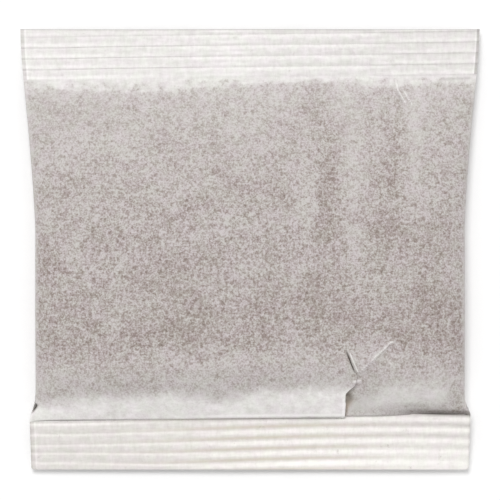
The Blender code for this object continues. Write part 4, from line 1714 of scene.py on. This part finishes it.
@dataclass
class PaperPouch:
    """The whole pouch: both plies, their marks, the mesh and its finish."""

    tube: Tube = field(default_factory=Tube)
    crimp: Crimp = field(default_factory=Crimp)
    finish: FilterPaper = field(default_factory=FilterPaper)
    front_count: int = 281
    back_count: int = 71
    body_rows: int = 110
    sharp_from: float = 50.0  # degrees between two faces

    def __post_init__(self) -> None:
        """Makes the parts of the pouch from the tube and the crimp."""
        self.top = TopSeal(self.tube, self.crimp)
        self.bottom = BottomSeal(self.tube, self.crimp)
        self.fill = Fill(self.tube, self.top, self.bottom)
        self.end = FillEnd(self.tube, self.fill, self.bottom)
        self.relief = Relief(self.top, self.bottom)
        self.stain_and_shade = StainAndPaintedLight(self.tube, self.top, self.bottom, self.end, self.relief)

    def front(self, flat: np.ndarray) -> np.ndarray:
        """The front: the top seal, the body, the end and the bottom seal, with the finer forms pressed in.

        Args:
            flat: The columns.

        Returns:
            Points by row and column.
        """
        body = self.fill.grid(flat, Ply.FRONT, self.body_rows)
        lower = self.end.front_grid(flat)
        inner = np.concatenate([body, lower])
        shift = self.end.swing(flat, inner[..., 0], inner[..., 1])
        inner[..., 0] += shift + self.end.overlap(flat, inner[..., 1])
        tucked = np.ones(len(inner))
        tucked[-self.end.tuck_rows :] = 0.0
        rise = self.relief.height(flat, inner[..., 0], inner[..., 1])
        inner[..., 2] += rise * tucked[:, None]
        seal = self.bottom.grid(flat, Ply.FRONT)
        carry = self.end.swing(flat, inner[..., 0] - shift, inner[..., 1])[-1]
        fade = np.linspace(1.0, 0.0, len(seal))[:, None]
        seal[..., 0] += carry * fade
        return np.concatenate([self.top.grid(flat, Ply.FRONT), inner, seal])

    def back(self, flat: np.ndarray) -> np.ndarray:
        """The back: the same four parts, without the finer forms.

        Args:
            flat: The columns.

        Returns:
            Points by row and column.
        """
        parts = [
            self.top.grid(flat, Ply.BACK),
            self.fill.grid(flat, Ply.BACK, self.body_rows),
            self.end.back_grid(flat),
            self.bottom.grid(flat, Ply.BACK),
        ]
        return np.concatenate(parts)

    def known(self, flat: np.ndarray, points: np.ndarray, ply: Ply) -> Known:
        """What is known of the points of a ply.

        Args:
            flat: The columns.
            points: The ply's points by row and column.
            ply: Which side of the pack.

        Returns:
            Each measure and share by row and column.
        """
        x, y = points[..., 0], points[..., 1]
        flat = flat * np.ones_like(x)
        row = np.arange(len(points))[:, None] * np.ones_like(x)
        first = len(self.top.stations())
        lip = first + self.body_rows + self.end.rows
        seal = lip + self.end.tuck_rows
        front = (ply is Ply.FRONT) * np.ones_like(x)
        beyond = self.end.beyond(flat) * front
        known = {At.FLAT: flat, At.X: x, At.Y: y, At.FRONT: front, At.BEYOND: beyond, At.BEFORE: 1.0 - beyond}
        for part, start, end in (
            (At.TOP, 0, first),
            (At.BODY, first, seal),
            (At.TUCK, lip, seal),
            (At.BOTTOM, seal, len(points)),
        ):
            known[part] = ((row >= start) & (row < end)).astype(float)
        return self.stain_and_shade.know(known)

    def faces(self, rows: int) -> list[tuple[int, ...]]:
        """Joins both plies into one closed skin.

        Args:
            rows: How many rows each ply has.

        Returns:
            The faces: a net of quads on each ply, a strip down each side and a strip over each cut.
        """
        front = np.arange(rows * self.front_count).reshape(rows, self.front_count)
        back = front.size + np.arange(rows * self.back_count).reshape(rows, self.back_count)
        nets = []
        for net, outward in ((front, 1), (back, -1)):
            corners = np.stack([net[:-1, :-1], net[1:, :-1], net[1:, 1:], net[:-1, 1:]], axis=-1)
            nets.append(corners.reshape(-1, 4)[:, ::outward])
        left = np.stack([front[:-1, 0], back[:-1, 0], back[1:, 0], front[1:, 0]], axis=-1)
        right = np.stack([front[:-1, -1], front[1:, -1], back[1:, -1], back[:-1, -1]], axis=-1)
        skin = [tuple(face) for face in np.concatenate([*nets, left, right]).tolist()]
        ratio = (self.front_count - 1) // (self.back_count - 1)
        for row, turn in ((0, 1), (rows - 1, -1)):
            for k in range(self.back_count - 1):
                rim = front[row, k * ratio : (k + 1) * ratio + 1].tolist()
                face = (*rim, int(back[row, k + 1]), int(back[row, k]))
                skin.append(face[::turn])
        return skin

    def build(self) -> bpy.types.Object:
        """Builds the pouch's mesh, marks its vertices and gives it its finish.

        Returns:
            The pouch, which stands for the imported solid.
        """
        front_flat = self.tube.front_columns(self.front_count)
        back_flat = self.tube.back_columns(self.back_count)
        front, back = self.front(front_flat), self.back(back_flat)
        mesh = bpy.data.meshes.new("pouch_paper")
        points = MM * np.concatenate([front.reshape(-1, 3), back.reshape(-1, 3)])
        mesh.from_pydata(points.tolist(), [], self.faces(len(front)))
        plies = (
            self.stain_and_shade.marks(self.known(front_flat, front, Ply.FRONT)),
            self.stain_and_shade.marks(self.known(back_flat, back, Ply.BACK)),
        )
        for mark in Mark:
            values = np.concatenate([marks[mark].ravel() for marks in plies])
            attribute = mesh.attributes.new(mark.value, "FLOAT", "POINT")
            attribute.data.foreach_set("value", values.astype(np.float32))
        mesh.shade_smooth()
        mesh.set_sharp_from_angle(angle=math.radians(self.sharp_from))
        mesh.materials.append(self.finish.build())
        pouch = bpy.data.objects.new("pouch_paper", mesh)
        bpy.context.scene.collection.objects.link(pouch)
        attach(pouch, "root")
        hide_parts("filter_pack")
        log.info("%s: %d faces, box %s", pouch.name, len(mesh.polygons), np.ptp(points, axis=0))
        return pouch


@dataclass
class Studio:
    """The plain floor, the soft lights and the camera straight above, in metres."""

    floor_half: float = 1.5
    floor_colour: str = "f7f7f7"
    camera_height: float = 0.8
    view_width: float = 117.8 * MM
    view_centre: tuple[float, float] = (0.0, -0.14 * MM)
    view_level: float = 3.0 * MM
    sensor_mm: float = 36.0
    clip: tuple[float, float] = (0.01, 10.0)
    key_from: tuple[float, float, float] = (-0.12, 0.47, 1.0)
    key_distance: float = 2.4
    key_size: float = 1.10
    key_power: float = 31.0
    sky: float = 0.62
    floor_glow: float = 0.045  # the floor is a light table, so shadows on it are faint

    def floor(self) -> bpy.types.Object:
        """A flat square on the table's level.

        Returns:
            The floor.
        """
        h = self.floor_half
        mesh = bpy.data.meshes.new("studio_floor")
        mesh.from_pydata([(-h, -h, 0.0), (h, -h, 0.0), (h, h, 0.0), (-h, h, 0.0)], [], [(0, 1, 2, 3)])
        material = bpy.data.materials.new("studio_floor_matt")
        material.use_nodes = True
        shader = material.node_tree.nodes["Principled BSDF"]
        shader.inputs["Base Color"].default_value = linear(self.floor_colour)
        shader.inputs["Roughness"].default_value = 1.0
        shader.inputs["Specular IOR Level"].default_value = 0.0
        shader.inputs["Emission Color"].default_value = (1.0, 1.0, 1.0, 1.0)
        shader.inputs["Emission Strength"].default_value = self.floor_glow
        mesh.materials.append(material)
        floor = bpy.data.objects.new("studio_floor", mesh)
        bpy.context.scene.collection.objects.link(floor)
        return floor

    def lights(self) -> None:
        """A soft key light over the pack's top end, a little to its left, and an even sky."""
        world = bpy.data.worlds.new("studio_sky")
        world.use_nodes = True
        background = world.node_tree.nodes["Background"]
        background.inputs["Color"].default_value = (1.0, 1.0, 1.0, 1.0)
        background.inputs["Strength"].default_value = self.sky
        bpy.context.scene.world = world
        data = bpy.data.lights.new("studio_key", "AREA")
        data.shape = "DISK"
        data.size = self.key_size
        data.energy = self.key_power
        key = bpy.data.objects.new("studio_key", data)
        direction = Vector(self.key_from).normalized()
        key.location = direction * self.key_distance
        key.rotation_mode = "QUATERNION"
        key.rotation_quaternion = direction.to_track_quat("Z", "Y")
        bpy.context.scene.collection.objects.link(key)

    def camera(self) -> None:
        """A camera that looks straight down and takes in the photograph's frame at the pack's level."""
        data = bpy.data.cameras.new("studio_camera")
        data.sensor_width = self.sensor_mm
        data.lens = self.sensor_mm * (self.camera_height - self.view_level) / self.view_width
        data.clip_start, data.clip_end = self.clip
        camera = bpy.data.objects.new("studio_camera", data)
        camera.location = (*self.view_centre, self.camera_height)
        bpy.context.scene.collection.objects.link(camera)
        bpy.context.scene.camera = camera
        bpy.context.scene.view_settings.view_transform = "Standard"

    def build(self) -> None:
        """Sets up the whole studio."""
        self.floor()
        self.lights()
        self.camera()
        log.info("studio: floor, key light, sky and camera")


def main() -> None:
    """Builds the pouch and the studio round it."""
    logging.basicConfig(level=logging.INFO, format="%(name)s: %(message)s")
    PaperPouch().build()
    Studio().build()


if __name__ == "__main__":
    main()
